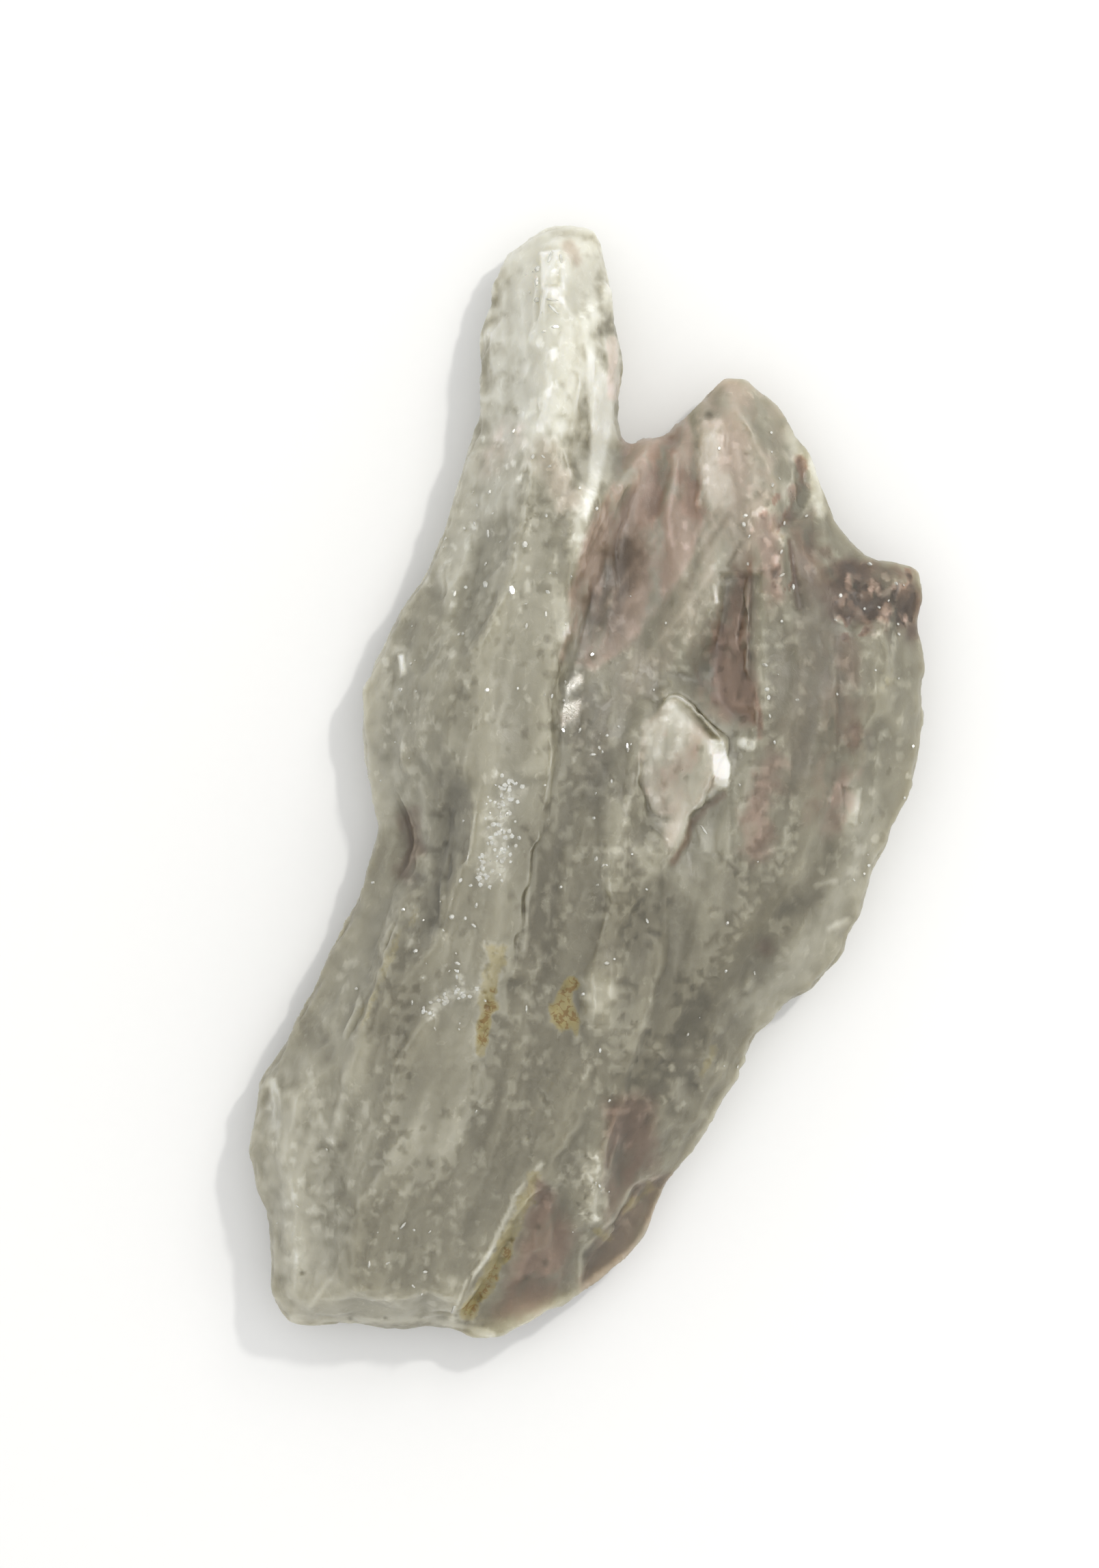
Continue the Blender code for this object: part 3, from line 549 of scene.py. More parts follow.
# The lower body, from the waist down to the bottom edge
LOWER_MARKS = (
    Mark(((-7.6, -8.0), (-5.4, -13.0)), 3.0, look(100, calm=0.3)),
    Mark(((3.4, -1.0), (5.2, -4.6)), 1.8, look(98)),
    Mark(((9.8, -7.6), (8.0, -13.0), (6.0, -17.0)), 3.6, look(92, calm=0.6)),
    Mark(((4.0, -9.0), (6.4, -17.0), (4.4, -21.0)), 4.6, look(79, calm=0.7)),
    Mark(((-12.2, -13.0), (-11.4, -20.0)), 3.6, look(95, calm=0.6)),
    Mark(((-14.6, -9.0), (-17.4, -15.6), (-15.4, -21.0), (-15.4, -27.0)), 2.8, look(138, calm=0.4)),
    Mark(((-11.0, -25.0), (-10.4, -34.0)), 6.0, look(118, calm=0.6)),
    Mark(((-8.4, -24.0), (-8.0, -28.0)), 2.2, look(122, calm=0.4)),
    Mark(((-19.6, -20.0), (-17.6, -23.0)), 3.4, look(142, calm=0.5)),
    Mark(((-20.8, -24.0), (-19.2, -35.0)), 4.6, look(164, calm=0.7)),
    Mark(((-19.0, -36.6), (-9.5, -36.4)), 2.4, look(146, calm=0.5)),
    Mark(((-3.0, -18.0), (-6.0, -25.0)), 3.0, look(106, calm=0.4)),
    Mark(((-9.8, -26.0), (-10.6, -29.4)), 1.0, shift(-12)),
    Mark(((-10.2, -20.0), (-9.8, -24.0)), 1.3, shift(-8)),
    Mark(((0.2, -25.7), (0.8, -30.4)), 0.9, look(140), soft=0.8, fray=0.8, height=0.1),
    *crumbs(4, (-0.6, 1.2, -30.6, -25.8), 18, shift(-20), shift(34), 0.22),
    *crumbs(9, (4.2, 8.6, -23.0, -18.0), 14, shift(-8), shift(24), 0.22),
    *crumbs(10, (-16.0, -10.0, -36.0, -28.0), 16, shift(-4), shift(18), 0.18),
    *crumbs(11, (-12.4, -7.0, -12.6, -6.0), 14, shift(-7), shift(26), 0.18),
    Mark(((6.2, -21.3), (6.9, -22.4)), 0.8, shift(26), soft=0.8),
    dab(7.0, -18.7, 0.7, shift(24), soft=0.8),
    Mark(((1.8, -1.6), (1.8, -4.8), (1.3, -5.4), (1.3, -7.4)), 0.8, shift(20), soft=0.6),
    Mark(((5.1, -6.0), (5.1, -11.0)), 0.3, shift(-12), height=-0.12),
    Mark(((4.2, -10.3), (4.8, -10.5)), 0.35, shift(-22), height=-0.15),
    Mark(((-3.14, -26.3), (-4.7, -28.2), (-5.5, -30.0), (-6.9, -32.9), (-8.25, -34.6), (-9.4, -37.6)), 0.28,
         look(166, calm=0.6), soft=0.8, fray=0.3, height=0.12),
    Mark(((-8.0, -34.2), (-9.1, -37.2)), 0.2, look(108), fray=0.1, height=-0.15),
    Mark(((-0.45, -33.0), (-0.5, -35.8)), 0.25, shift(26), height=0.1),
    Mark(((-0.4, -32.8), (1.2, -31.0), (2.0, -30.4), (2.6, -29.3), (3.2, -28.1), (5.2, -27.6)), 0.25,
         shift(26), soft=0.8, height=0.08),
    Mark(((-20.5, -37.5), (-16.0, -37.6), (-11.0, -37.5), (-6.6, -38.6)), 0.4, look(160, calm=0.5), soft=0.7),
    Mark(((-5.6, -38.2), (-0.8, -35.8), (3.6, -32.4), (6.0, -27.8)), 0.45, look(132, calm=0.5)),
    Mark(((8.0, -24.8), (10.4, -20.8), (11.4, -18.4)), 0.45, look(132, calm=0.5)),
    Mark(((-17.8, -34.5), (-19.3, -36.6)), 0.3, shift(16), height=0.1),
    Mark(((-19.1, -20.3), (-18.4, -23.4), (-16.9, -26.3)), 0.35, shift(12), height=0.1),
    Mark(((-11.7, -23.6), (-13.7, -26.4), (-15.6, -29.0)), 0.8, shift(9)),
    Mark(((-13.2, -16.4), (-13.5, -18.8)), 0.4, shift(16), height=0.1),
    Mark(((-14.5, -15.4), (-15.0, -17.8)), 0.35, shift(-12), height=-0.12),
    Mark(((-4.0, -6.4), (-4.1, -9.0), (-4.4, -12.0)), 0.22, shift(26), height=0.12),
    # A painted highlight on the small face at the left rim, and painted shade along the step beside it
    Mark(((-21.8, -21.0), (-21.8, -24.0)), 0.6, look(192, calm=0.4), soft=0.9),
    Mark(((-21.15, -20.4), (-21.2, -25.0)), 0.22, shift(-12), height=-0.06),
    Mark(((-16.6, -20.0), (-17.6, -25.0)), 0.3, shift(9)),
    Mark(((-14.8, -24.0), (-17.0, -30.0)), 0.35, shift(8)),
    Mark(((-8.0, -20.6), (-9.4, -24.6), (-10.4, -27.6)), 0.35, shift(9)),
    Mark(((-5.4, -21.0), (-7.2, -26.2)), 0.35, shift(9)),
    dab(-19.75, -34.1, 0.3, shift(-50), height=-0.3),
    dab(-14.0, -37.4, 0.25, look(100, iron=0.4), height=-0.15),
    dab(-16.5, -37.5, 0.3, look(104, iron=0.3), height=-0.15),
    dab(-3.4, -30.8, 0.35, shift(-18, mauve=0.5), height=-0.12),
    dab(-2.9, -33.4, 0.4, shift(-16, mauve=0.6), height=-0.12),
    dab(-4.2, -34.6, 0.4, shift(-14, mauve=0.6), height=-0.1),
)

# Iron stains, which lie in grooves and pits
IRON_MARKS = (
    Mark(((-11.8, -9.0), (-12.9, -10.8), (-14.0, -13.0), (-15.2, -15.6), (-15.8, -17.4)), 0.8,
         shift(8, iron=0.42), soft=0.9, fray=0.5),
    Mark(((-6.1, -11.6), (-6.5, -13.4), (-6.8, -15.2)), 1.05, look(138, iron=0.55), soft=0.7, fray=0.35),
    Mark(((-6.9, -15.0), (-7.3, -18.4)), 0.75, look(136, iron=0.6), soft=0.7, fray=0.35),
    Mark(((-6.5, -14.4), (-7.0, -16.4), (-7.2, -17.8)), 0.5, look(118, iron=0.95), soft=0.9, fray=0.8),
    Mark(((-1.2, -14.0), (-2.2, -15.6), (-1.7, -16.6)), 0.7, look(120, iron=0.95), soft=0.9, fray=0.8),
    Mark(((-2.4, -20.0), (-3.4, -22.4), (-4.4, -24.4)), 1.1, shift(4, iron=0.3), fray=0.4),
    Mark(((8.7, -18.6), (8.0, -20.5)), 0.7, look(112, iron=0.45), soft=0.8),
    Mark(((-3.7, -27.4), (-4.6, -30.0), (-5.6, -32.0)), 0.95, look(134, iron=0.5), soft=0.7, fray=0.3),
    Mark(((-5.4, -31.6), (-6.9, -34.6), (-8.3, -37.2)), 0.95, look(130, iron=0.62), soft=0.7, fray=0.35),
    Mark(((-5.6, -33.0), (-6.8, -34.9), (-8.1, -36.8)), 0.5, look(112, iron=0.95), soft=0.9, fray=0.7),
    Mark(((0.6, -31.2), (1.4, -31.9)), 0.7, look(106, iron=0.5), soft=0.9),
    Mark(((2.6, -30.0), (4.4, -28.4)), 0.8, look(108, iron=0.5), soft=0.9),
    Mark(((8.2, 11.8), (9.2, 9.6)), 0.9, shift(4, iron=0.32)),
    Mark(((5.2, 7.6), (6.3, 6.2)), 0.9, shift(6, iron=0.32)),
    Mark(((12.8, 17.4), (13.6, 16.7)), 0.7, shift(30, iron=0.4), fray=0.6),
    Mark(((21.2, 7.6), (20.5, 6.4)), 0.7, shift(20, iron=0.4), fray=0.6),
    Mark(((21.7, 10.4), (21.0, 8.2)), 0.4, shift(24, iron=0.2), fray=0.6),
)

# The two patches where small druse crystals stand, painted lighter for the crystals' pale colour and a
# painted shimmer
DRUSE_MARKS = (
    Mark(((-5.4, -0.6), (-6.0, -2.6), (-5.9, -4.6), (-6.6, -6.2)), 1.45, shift(34, druse=1.0), fray=0.5),
    Mark(((-10.9, -16.0), (-10.0, -15.1), (-9.0, -14.5), (-7.8, -14.3)), 0.75, shift(30, druse=1.0),
         fray=0.6),
    Mark(((-8.9, -13.3), (-8.4, -14.2)), 0.5, shift(20, druse=0.9), fray=0.6),
    dab(-11.3, -13.5, 0.35, shift(20, druse=0.9)),
)

# The step from the long blade down to the clearer crystals on its right
LONG_BLADE_WALL = ((-2.9, 0.8), (-2.6, 5.6), (-2.1, 7.8), (-1.7, 9.3), (-1.0, 11.0), (-1.3, 13.0),
                   (-0.8, 14.2), (-0.2, 16.5), (0.6, 18.7), (1.8, 20.5), (2.4, 23.1))

# Breaks in the front's surface
FRONT_LEDGES = (
    Ledge(LONG_BLADE_WALL, Low.RIGHT, 0.5),
    Ledge(((0.6, 19.6), (1.1, 21.6), (1.8, 24.8), (1.9, 27.6)), Low.RIGHT, 0.2, 1.0),
    Ledge(((-9.4, -38.0), (-8.4, -35.4), (-6.6, -32.5), (-4.8, -29.7), (-2.9, -27.0)), Low.RIGHT, 0.5, 1.6),
    Ledge(((-0.6, -35.9), (-0.4, -33.0), (1.2, -31.0), (2.6, -29.3), (3.3, -28.0), (5.6, -27.4)),
          Low.RIGHT, 0.35, 1.6),
    Ledge(((5.6, -5.7), (6.5, -4.0), (6.9, -2.4), (7.9, -1.4), (9.1, -0.5), (9.9, -0.3)),
          Low.RIGHT, 0.9, 1.0),
    Ledge(((-12.3, -2.0), (-13.0, 3.0), (-12.5, 7.0), (-11.7, 11.5)), Low.LEFT, 0.3),
    Ledge(((1.3, -30.6), (1.35, -28.0), (1.3, -25.6)), Low.RIGHT, 0.4, 0.9),
    Ledge(((5.1, -11.0), (5.1, -6.0)), Low.LEFT, 0.3),
    Ledge(((9.9, -5.2), (9.9, -0.4)), Low.RIGHT, 0.3),
    Ledge(((17.0, -11.0), (18.4, -9.7)), Low.RIGHT, 0.35, 0.8),
    Ledge(((4.8, -2.6), (3.7, 0.0), (3.4, 1.6)), Low.LEFT, 0.2),
    Ledge(((1.0, -7.5), (1.0, -1.4)), Low.LEFT, 0.3, 0.8),
    Ledge(((2.3, -7.5), (2.5, -5.2), (2.7, -1.4)), Low.RIGHT, 0.3, 0.8),
    Ledge(((0.8, -5.2), (2.5, -5.3)), Low.RIGHT, 0.25, 0.9),
    Ledge(((0.9, -3.3), (2.6, -3.4)), Low.RIGHT, 0.15, 0.9),
    Ledge(((7.9, 19.5), (7.9, 22.0), (8.2, 25.0)), Low.LEFT, 0.5, 1.0),
    Ledge(((10.2, 19.6), (9.7, 22.0), (9.3, 24.6)), Low.RIGHT, 0.2, 1.0),
    Ledge(((-17.6, -34.5), (-15.6, -29.0), (-13.9, -26.5), (-12.0, -23.6)), Low.LEFT, 0.28, 1.8),
    Ledge(((-10.4, -34.0), (-6.6, -26.0), (-4.2, -18.0), (-4.2, -7.0)), Low.RIGHT, 0.2, 1.6),
    Ledge(((-21.3, -25.0), (-21.35, -20.0)), Low.LEFT, 0.35, 1.4),
    Ledge(((-3.1, 31.0), (-3.1, 33.0), (-3.6, 34.0), (-3.4, 35.6), (-2.9, 37.6)), Low.RIGHT, 0.35, 0.8),
    Ledge(((-3.1, 33.3), (-1.7, 33.0)), Low.RIGHT, 0.2, 0.5, 0.2),
    Ledge(((-2.9, 33.1), (-1.7, 31.9)), Low.RIGHT, 0.2, 0.5, 0.2),
    Ledge(((-1.6, 31.0), (-1.5, 34.0), (-1.7, 36.8)), Low.RIGHT, 0.3, 1.2),
    Ledge(((-2.05, 25.3), (-1.1, 27.1), (-0.9, 28.4)), Low.RIGHT, 0.15, 0.8, 0.25),
    Ledge(((-5.1, 12.0), (-4.9, 17.0), (-4.6, 22.0)), Low.LEFT, 0.18, 1.2),
    Ledge(((-9.0, 10.0), (-8.0, 15.0), (-7.2, 20.0)), Low.LEFT, 0.22, 1.4),
    Ledge(((-7.0, 1.0), (-6.2, 7.0), (-5.4, 12.0)), Low.RIGHT, 0.15, 1.2),
    Ledge(((13.6, 12.0), (13.0, 15.0)), Low.RIGHT, 0.3, 0.9),
    Ledge(((16.6, -3.0), (17.0, 4.0), (17.2, 10.0)), Low.RIGHT, 0.25, 1.6),
    Ledge(((19.8, -4.0), (20.2, 3.0), (19.8, 9.0)), Low.LEFT, 0.25, 1.6),
    Ledge(((-11.4, -18.0), (-9.8, -12.0), (-8.6, -7.0)), Low.RIGHT, 0.22, 1.4),
)

# The outline of the large pearly facet
PEARLY = ((6.05, 6.3), (5.07, 4.8), (3.67, 2.7), (3.4, 1.56), (3.67, 0.0), (4.5, -1.66), (4.8, -2.6),
          (6.9, -2.36), (7.86, -1.4), (9.1, -0.5), (9.7, -0.4), (9.75, 1.0), (9.5, 2.4), (8.4, 2.5),
          (7.6, 2.95), (6.9, 4.2))

# Flat faces of the front: three that ease steps of the solid, the pearly facet, then the smaller ones
FRONT_FACETS = (
    Facet(((-5.8, 1.0), (-1.2, 1.0), (-1.3, -8.0), (-2.4, -14.0), (-6.4, -14.0), (-6.2, -6.0)),
          (-0.26, 0.03), flatness=0.75, edge=1.2),
    Facet(((9.0, 14.6), (12.4, 14.8), (12.6, 4.4), (8.8, 4.6)), (0.5, -0.12), flatness=0.9, edge=0.9),
    Facet(((4.6, 6.2), (6.2, 8.2), (8.6, 6.6), (11.0, 4.4), (9.9, 2.7), (8.4, 2.4), (6.6, 3.9), (5.2, 5.2)),
          (-0.42, -0.58), flatness=0.85, edge=0.8),
    Facet(PEARLY, (0.06, 0.02), look(138, mauve=0.3, gloss=0.4, calm=0.6), flatness=0.2, edge=1.2),
    Facet(((4.8, -2.6), (6.9, -2.4), (6.5, -4.0), (5.6, -5.7), (5.0, -4.2)), (-0.10, -0.10),
          look(144, mauve=0.25, gloss=0.5), edge=0.6),
    # Painted highlights: the glint at the pearly facet's right and the small faces after it, up to the milky
    # lump
    Facet(((8.4, 2.8), (9.4, 2.7), (9.9, 1.0), (9.75, -0.5), (8.7, -0.3)), (-0.12, -0.08),
          look(190, gloss=0.5), edge=0.15, flatness=0.6),
    Facet(((-1.9, 6.7), (-0.24, 7.7), (-0.05, 6.7), (-1.5, 5.7)), (-0.22, -0.22),
          shift(46, mauve=0.3, gloss=0.8)),
    Facet(((-2.1, 5.3), (-0.1, 6.0), (-0.5, 4.3), (-1.9, 3.4)), (-0.2, -0.16),
          shift(38, mauve=0.35, gloss=0.8)),
    Facet(((7.4, -2.9), (8.9, -3.1), (9.1, -5.2), (7.9, -5.0)), (-0.1, -0.16),
          shift(16, iron=0.15, gloss=0.3)),
    Facet(((10.6, 3.1), (11.4, 3.0), (11.2, 2.0), (10.5, 2.1)), (-0.2, -0.1), look(182, gloss=0.8)),
    Facet(((8.3, 24.6), (9.6, 23.4), (9.9, 21.8), (8.5, 21.6)), (-0.12, -0.10), shift(16, gloss=0.4),
          edge=0.6),
    Facet(((8.2, 21.0), (10.0, 20.7), (10.2, 19.2), (8.7, 18.8)), (-0.05, -0.1), shift(10, gloss=0.3),
          edge=0.6),
    Facet(((-2.9, 29.9), (-1.8, 29.9), (-2.2, 27.6)), (-0.2, -0.1), shift(18, gloss=0.3)),
    Facet(((-3.4, 36.9), (-1.8, 37.0), (-1.6, 34.0), (-3.2, 34.0)), (-0.2, -0.12), shift(12, gloss=0.5)),
    Facet(((-13.3, 8.9), (-12.6, 9.0), (-12.3, 7.4), (-13.0, 7.1)), (-0.25, -0.2), look(222, gloss=0.9)),
    Facet(((-2.0, 11.0), (-1.2, 10.9), (-1.0, 10.0), (-1.8, 9.8)), (-0.2, -0.2), shift(36, gloss=0.5),
          edge=0.2),
    Facet(((8.5, 13.9), (9.0, 13.8), (9.2, 12.3), (8.8, 12.2)), (-0.25, -0.25), look(206, gloss=0.8),
          edge=0.2),
    Facet(((17.5, -0.2), (19.2, -0.4), (18.8, -3.2), (17.6, -2.8)), (-0.06, 0.0), shift(8, gloss=0.3)),
    Facet(((-0.9, -13.2), (0.4, -12.9), (2.2, -13.4), (2.3, -15.0), (0.4, -16.4), (-0.8, -15.0)),
          (0.0, -0.1), look(150, gloss=0.2, calm=0.6), flatness=0.3, edge=0.9),
    Facet(((-0.8, -13.2), (-0.75, -15.0), (-0.2, -16.4), (-0.6, -18.3), (-1.4, -17.0), (-2.9, -16.8),
           (-2.6, -15.6)), (0.0, 0.0), look(152, iron=0.9), flatness=0.0, edge=0.5),
)

# Painted light and shade, painted last, in the pearly facet, the right prong and the blade's lit bevel
PAINTED_SHEEN_MARKS = (
    # The pearly facet's painted sheen, lighter above and to the left
    Zone(((6.5, 5.9), (5.2, 5.0), (3.9, 4.0), (3.5, 1.6), (3.6, 0.2), (4.3, -1.2), (4.9, -2.4), (6.9, -2.3),
          (7.9, -1.3), (8.7, -0.4), (8.5, 1.8), (8.4, 2.9), (7.4, 4.5)),
         look(136, mauve=0.4, calm=0.7), edge=0.2),
    Zone(((6.5, 5.9), (5.2, 5.0), (4.0, 3.8), (3.8, 1.6), (5.0, 0.6), (6.6, 1.6), (7.5, 4.2)),
         look(162, mauve=0.1, calm=0.6), edge=0.35),
    Mark(((6.2, 5.3), (5.3, 3.8), (4.7, 2.0)), 0.9, look(182, calm=0.6), fray=0.15),
    Mark(((6.6, 4.6), (6.5, 2.8)), 0.5, look(186, calm=0.6), fray=0.15),
    Mark(((5.5, 3.2), (5.2, 0.6), (5.3, -1.6)), 0.22, shift(-12, mauve=0.6), fray=0.15),
    # A painted glint on the right of the pearly facet
    Zone(((8.45, 2.8), (9.3, 2.7), (9.35, 2.0), (8.4, 1.9)), look(205, iron=0.35, calm=0.6), edge=0.15),
    Zone(((8.6, 1.8), (9.6, 1.9), (9.85, 0.9), (9.7, 0.2), (8.75, 0.4)), look(243, calm=0.8), edge=0.15),
    Zone(((8.8, 0.2), (9.7, 0.1), (9.6, -0.5), (8.7, -0.4)), look(168, iron=0.2, calm=0.6), edge=0.15),
    # Painted light on the right prong's faces
    Zone(((8.2, 24.8), (9.2, 23.6), (9.9, 21.4), (10.2, 19.4), (8.7, 18.7), (7.9, 20.6), (7.8, 23.0)),
         look(182, mauve=0.25, calm=0.5), edge=0.3),
    Zone(((9.0, 21.2), (10.4, 21.6), (10.6, 24.6), (9.7, 25.6), (9.3, 23.6)),
         look(164, mauve=0.5, calm=0.5), edge=0.3),
    # Painted light on the blade's bevel, which faces the light
    Zone(((0.1, 30.0), (1.9, 27.6), (1.8, 24.8), (1.1, 21.6), (0.6, 19.6), (-0.1, 17.6), (-0.4, 18.6),
          (0.1, 21.0), (0.3, 24.4), (-0.1, 28.0)), look(218, calm=0.6), edge=0.2),
    Mark(((4.3, 0.6), (4.7, -1.6)), 0.8, look(172, mauve=0.15, calm=0.6), fray=0.15),
    Mark(((7.6, 1.9), (7.4, 0.2)), 0.9, look(132, mauve=0.8, calm=0.6), fray=0.15),
    Mark(((6.3, 1.6), (5.9, 0.2)), 0.5, look(126, mauve=0.5, calm=0.6), fray=0.15),
    Mark(((5.6, -0.9), (6.4, -1.8), (6.2, -3.0)), 0.8, look(150, mauve=0.25, calm=0.6), fray=0.15),
)

# Small bright faces: place, half width, half length, and how far the length leans to the right in degrees
GLINTS = (
    (-3.4, 35.5, 0.30, 0.30, 0), (-3.6, 33.8, 0.22, 0.22, 0), (-3.45, 33.3, 0.30, 0.25, 0),
    (-3.5, 34.6, 0.16, 0.50, 5), (-3.05, 36.6, 0.14, 0.60, -5), (-2.55, 36.3, 0.14, 0.70, 20),
    (-1.8, 36.1, 0.14, 0.55, -5), (-2.0, 34.2, 0.28, 0.22, 0), (-2.4, 33.2, 0.60, 0.12, 8),
    (-2.3, 32.5, 0.12, 0.75, -45), (-2.2, 31.3, 0.35, 0.15, 0), (-3.0, 31.0, 0.20, 0.10, 0),
    (-5.1, 24.2, 0.14, 0.28, 35), (-3.76, 22.3, 0.16, 0.26, 15), (-0.55, 20.1, 0.15, 0.16, 0),
    (-7.5, 19.0, 0.16, 0.70, -8), (-6.75, 20.0, 0.20, 0.20, 0), (-6.85, 17.1, 0.14, 0.45, -10),
    (-5.8, 15.5, 0.24, 0.20, 0), (-4.3, 16.2, 0.26, 0.34, 0), (-6.95, 13.5, 0.24, 0.40, -35),
    (-5.2, 13.05, 0.28, 0.50, -10), (-8.4, 13.4, 0.18, 0.20, 0), (0.6, 18.7, 0.16, 0.18, 0),
    (-9.2, 12.95, 0.12, 0.34, 15), (-2.9, 11.4, 0.12, 0.30, 0), (-4.2, 10.6, 0.14, 0.30, 10),
    (-12.9, 6.3, 0.14, 0.18, 0), (-11.3, 5.4, 0.18, 0.16, 0), (-11.6, 4.4, 0.28, 0.14, 25),
    (-6.9, 6.2, 0.22, 0.20, 0), (-4.8, 6.3, 0.12, 0.16, 0), (-1.7, 3.45, 0.24, 0.14, 60),
    (0.8, 2.25, 0.14, 0.22, -20), (0.35, 1.8, 0.30, 0.12, 0), (1.3, 3.1, 0.14, 0.14, 0),
    (2.7, 2.4, 0.12, 0.30, 0), (-2.95, -0.3, 0.14, 0.12, 0), (0.3, 8.7, 0.22, 0.16, -30),
    (12.35, 6.3, 0.24, 0.20, 0), (12.45, 5.75, 0.20, 0.26, 0), (13.4, 11.0, 0.14, 0.14, 0),
    (12.8, 24.2, 0.15, 0.15, 0), (10.9, 18.3, 0.22, 0.16, 0), (10.8, 17.7, 0.18, 0.26, -30),
    (9.1, 23.0, 0.16, 0.18, 0), (12.8, 22.8, 0.12, 0.12, 0), (15.2, 18.4, 0.22, 0.12, -35),
    (13.4, 14.2, 0.34, 0.14, -30), (14.2, 13.4, 0.14, 0.30, 0), (22.7, 2.4, 0.14, 0.16, 0),
    (22.1, -1.2, 0.12, 0.14, 0), (19.6, -5.9, 0.18, 0.16, 0), (19.3, -6.5, 0.14, 0.14, 0),
    (9.6, -9.8, 0.14, 0.16, 0), (8.0, -3.4, 0.10, 0.60, -35), (-14.9, -7.1, 0.20, 0.14, 20),
    (-12.7, -8.9, 0.20, 0.12, 30), (-16.0, -14.4, 0.16, 0.16, 0), (-4.2, -15.6, 0.34, 0.10, 90),
    (-9.3, -9.3, 0.22, 0.24, 0), (-8.4, -9.4, 0.14, 0.20, 0), (-8.7, -6.8, 0.16, 0.24, 20),
    (-8.9, -12.5, 0.28, 0.14, 30), (-11.8, -11.7, 0.20, 0.20, 0), (-7.8, -9.9, 0.30, 0.12, 40),
    (-0.3, -14.6, 0.16, 0.16, 0), (1.3, -12.5, 0.26, 0.16, 0), (1.8, -12.2, 0.12, 0.12, 0),
    (-21.9, -22.6, 0.12, 0.34, 0), (-15.05, -33.3, 0.34, 0.10, 90), (-12.7, -30.6, 0.12, 0.40, 40),
    (-11.2, -33.9, 0.24, 0.14, 0), (-9.2, -36.4, 0.12, 0.70, 24), (-1.86, -7.3, 0.14, 0.14, 0),
    (5.4, 10.9, 0.12, 0.14, 0), (20.9, 8.6, 0.16, 0.30, -20), (21.6, 10.2, 0.20, 0.14, 40),
    (19.2, 11.9, 0.14, 0.16, 0), (17.5, 12.8, 0.18, 0.22, 0), (-5.0, -2.8, 0.14, 0.14, 0),
)


@dataclass(frozen=True)
class Flakes:
    """Small tilted faces, long along the growth lines, that the crystals broke into."""

    seed: int
    across: float
    along: float
    tilt: float
    step: float
    seam: float = 0.16
    long_tilt: float = 0.3
    count: int = 128

    def height(self, across: Field, along: Field) -> Field:
        """Give the faces' height at places across and along the growth lines.

        Args:
            across: Places across the growth lines in millimetres.
            along: Places along them.

        Returns:
            The height of the face at each place.
        """
        u = across / self.across
        v = along / self.along
        column = np.floor(u).astype(int)
        row = np.floor(v).astype(int)
        chance = np.random.default_rng(self.seed)
        draws = chance.uniform(-0.5, 0.5, (self.count, self.count, 2))
        slopes = chance.normal(0.0, self.tilt, (self.count, self.count, 2))
        steps = chance.normal(0.0, self.step, (self.count, self.count))
        nearest = np.full(u.shape, np.inf)
        second = np.full(u.shape, np.inf)
        best = np.zeros(u.shape)
        next_best = np.zeros(u.shape)
        for shift_u, shift_v in itertools.product((-1, 0, 1), repeat=2):
            i = (column + shift_u) % self.count
            j = (row + shift_v) % self.count
            off_u = u - (column + shift_u + 0.5 + draws[i, j, 0])
            off_v = v - (row + shift_v + 0.5 + draws[i, j, 1])
            distance = np.hypot(off_u, off_v)
            face = steps[i, j] + slopes[i, j, 0] * off_u * self.across
            face = face + self.long_tilt * slopes[i, j, 1] * off_v * self.along
            closer = distance < nearest
            runner = ~closer & (distance < second)
            next_best = np.where(closer, best, np.where(runner, face, next_best))
            second = np.where(closer, nearest, np.where(runner, distance, second))
            best = np.where(closer, face, best)
            nearest = np.where(closer, distance, nearest)
        share = 0.5 + 0.5 * np.clip((second - nearest) / self.seam, 0.0, 1.0)
        return share * best + (1.0 - share) * next_best


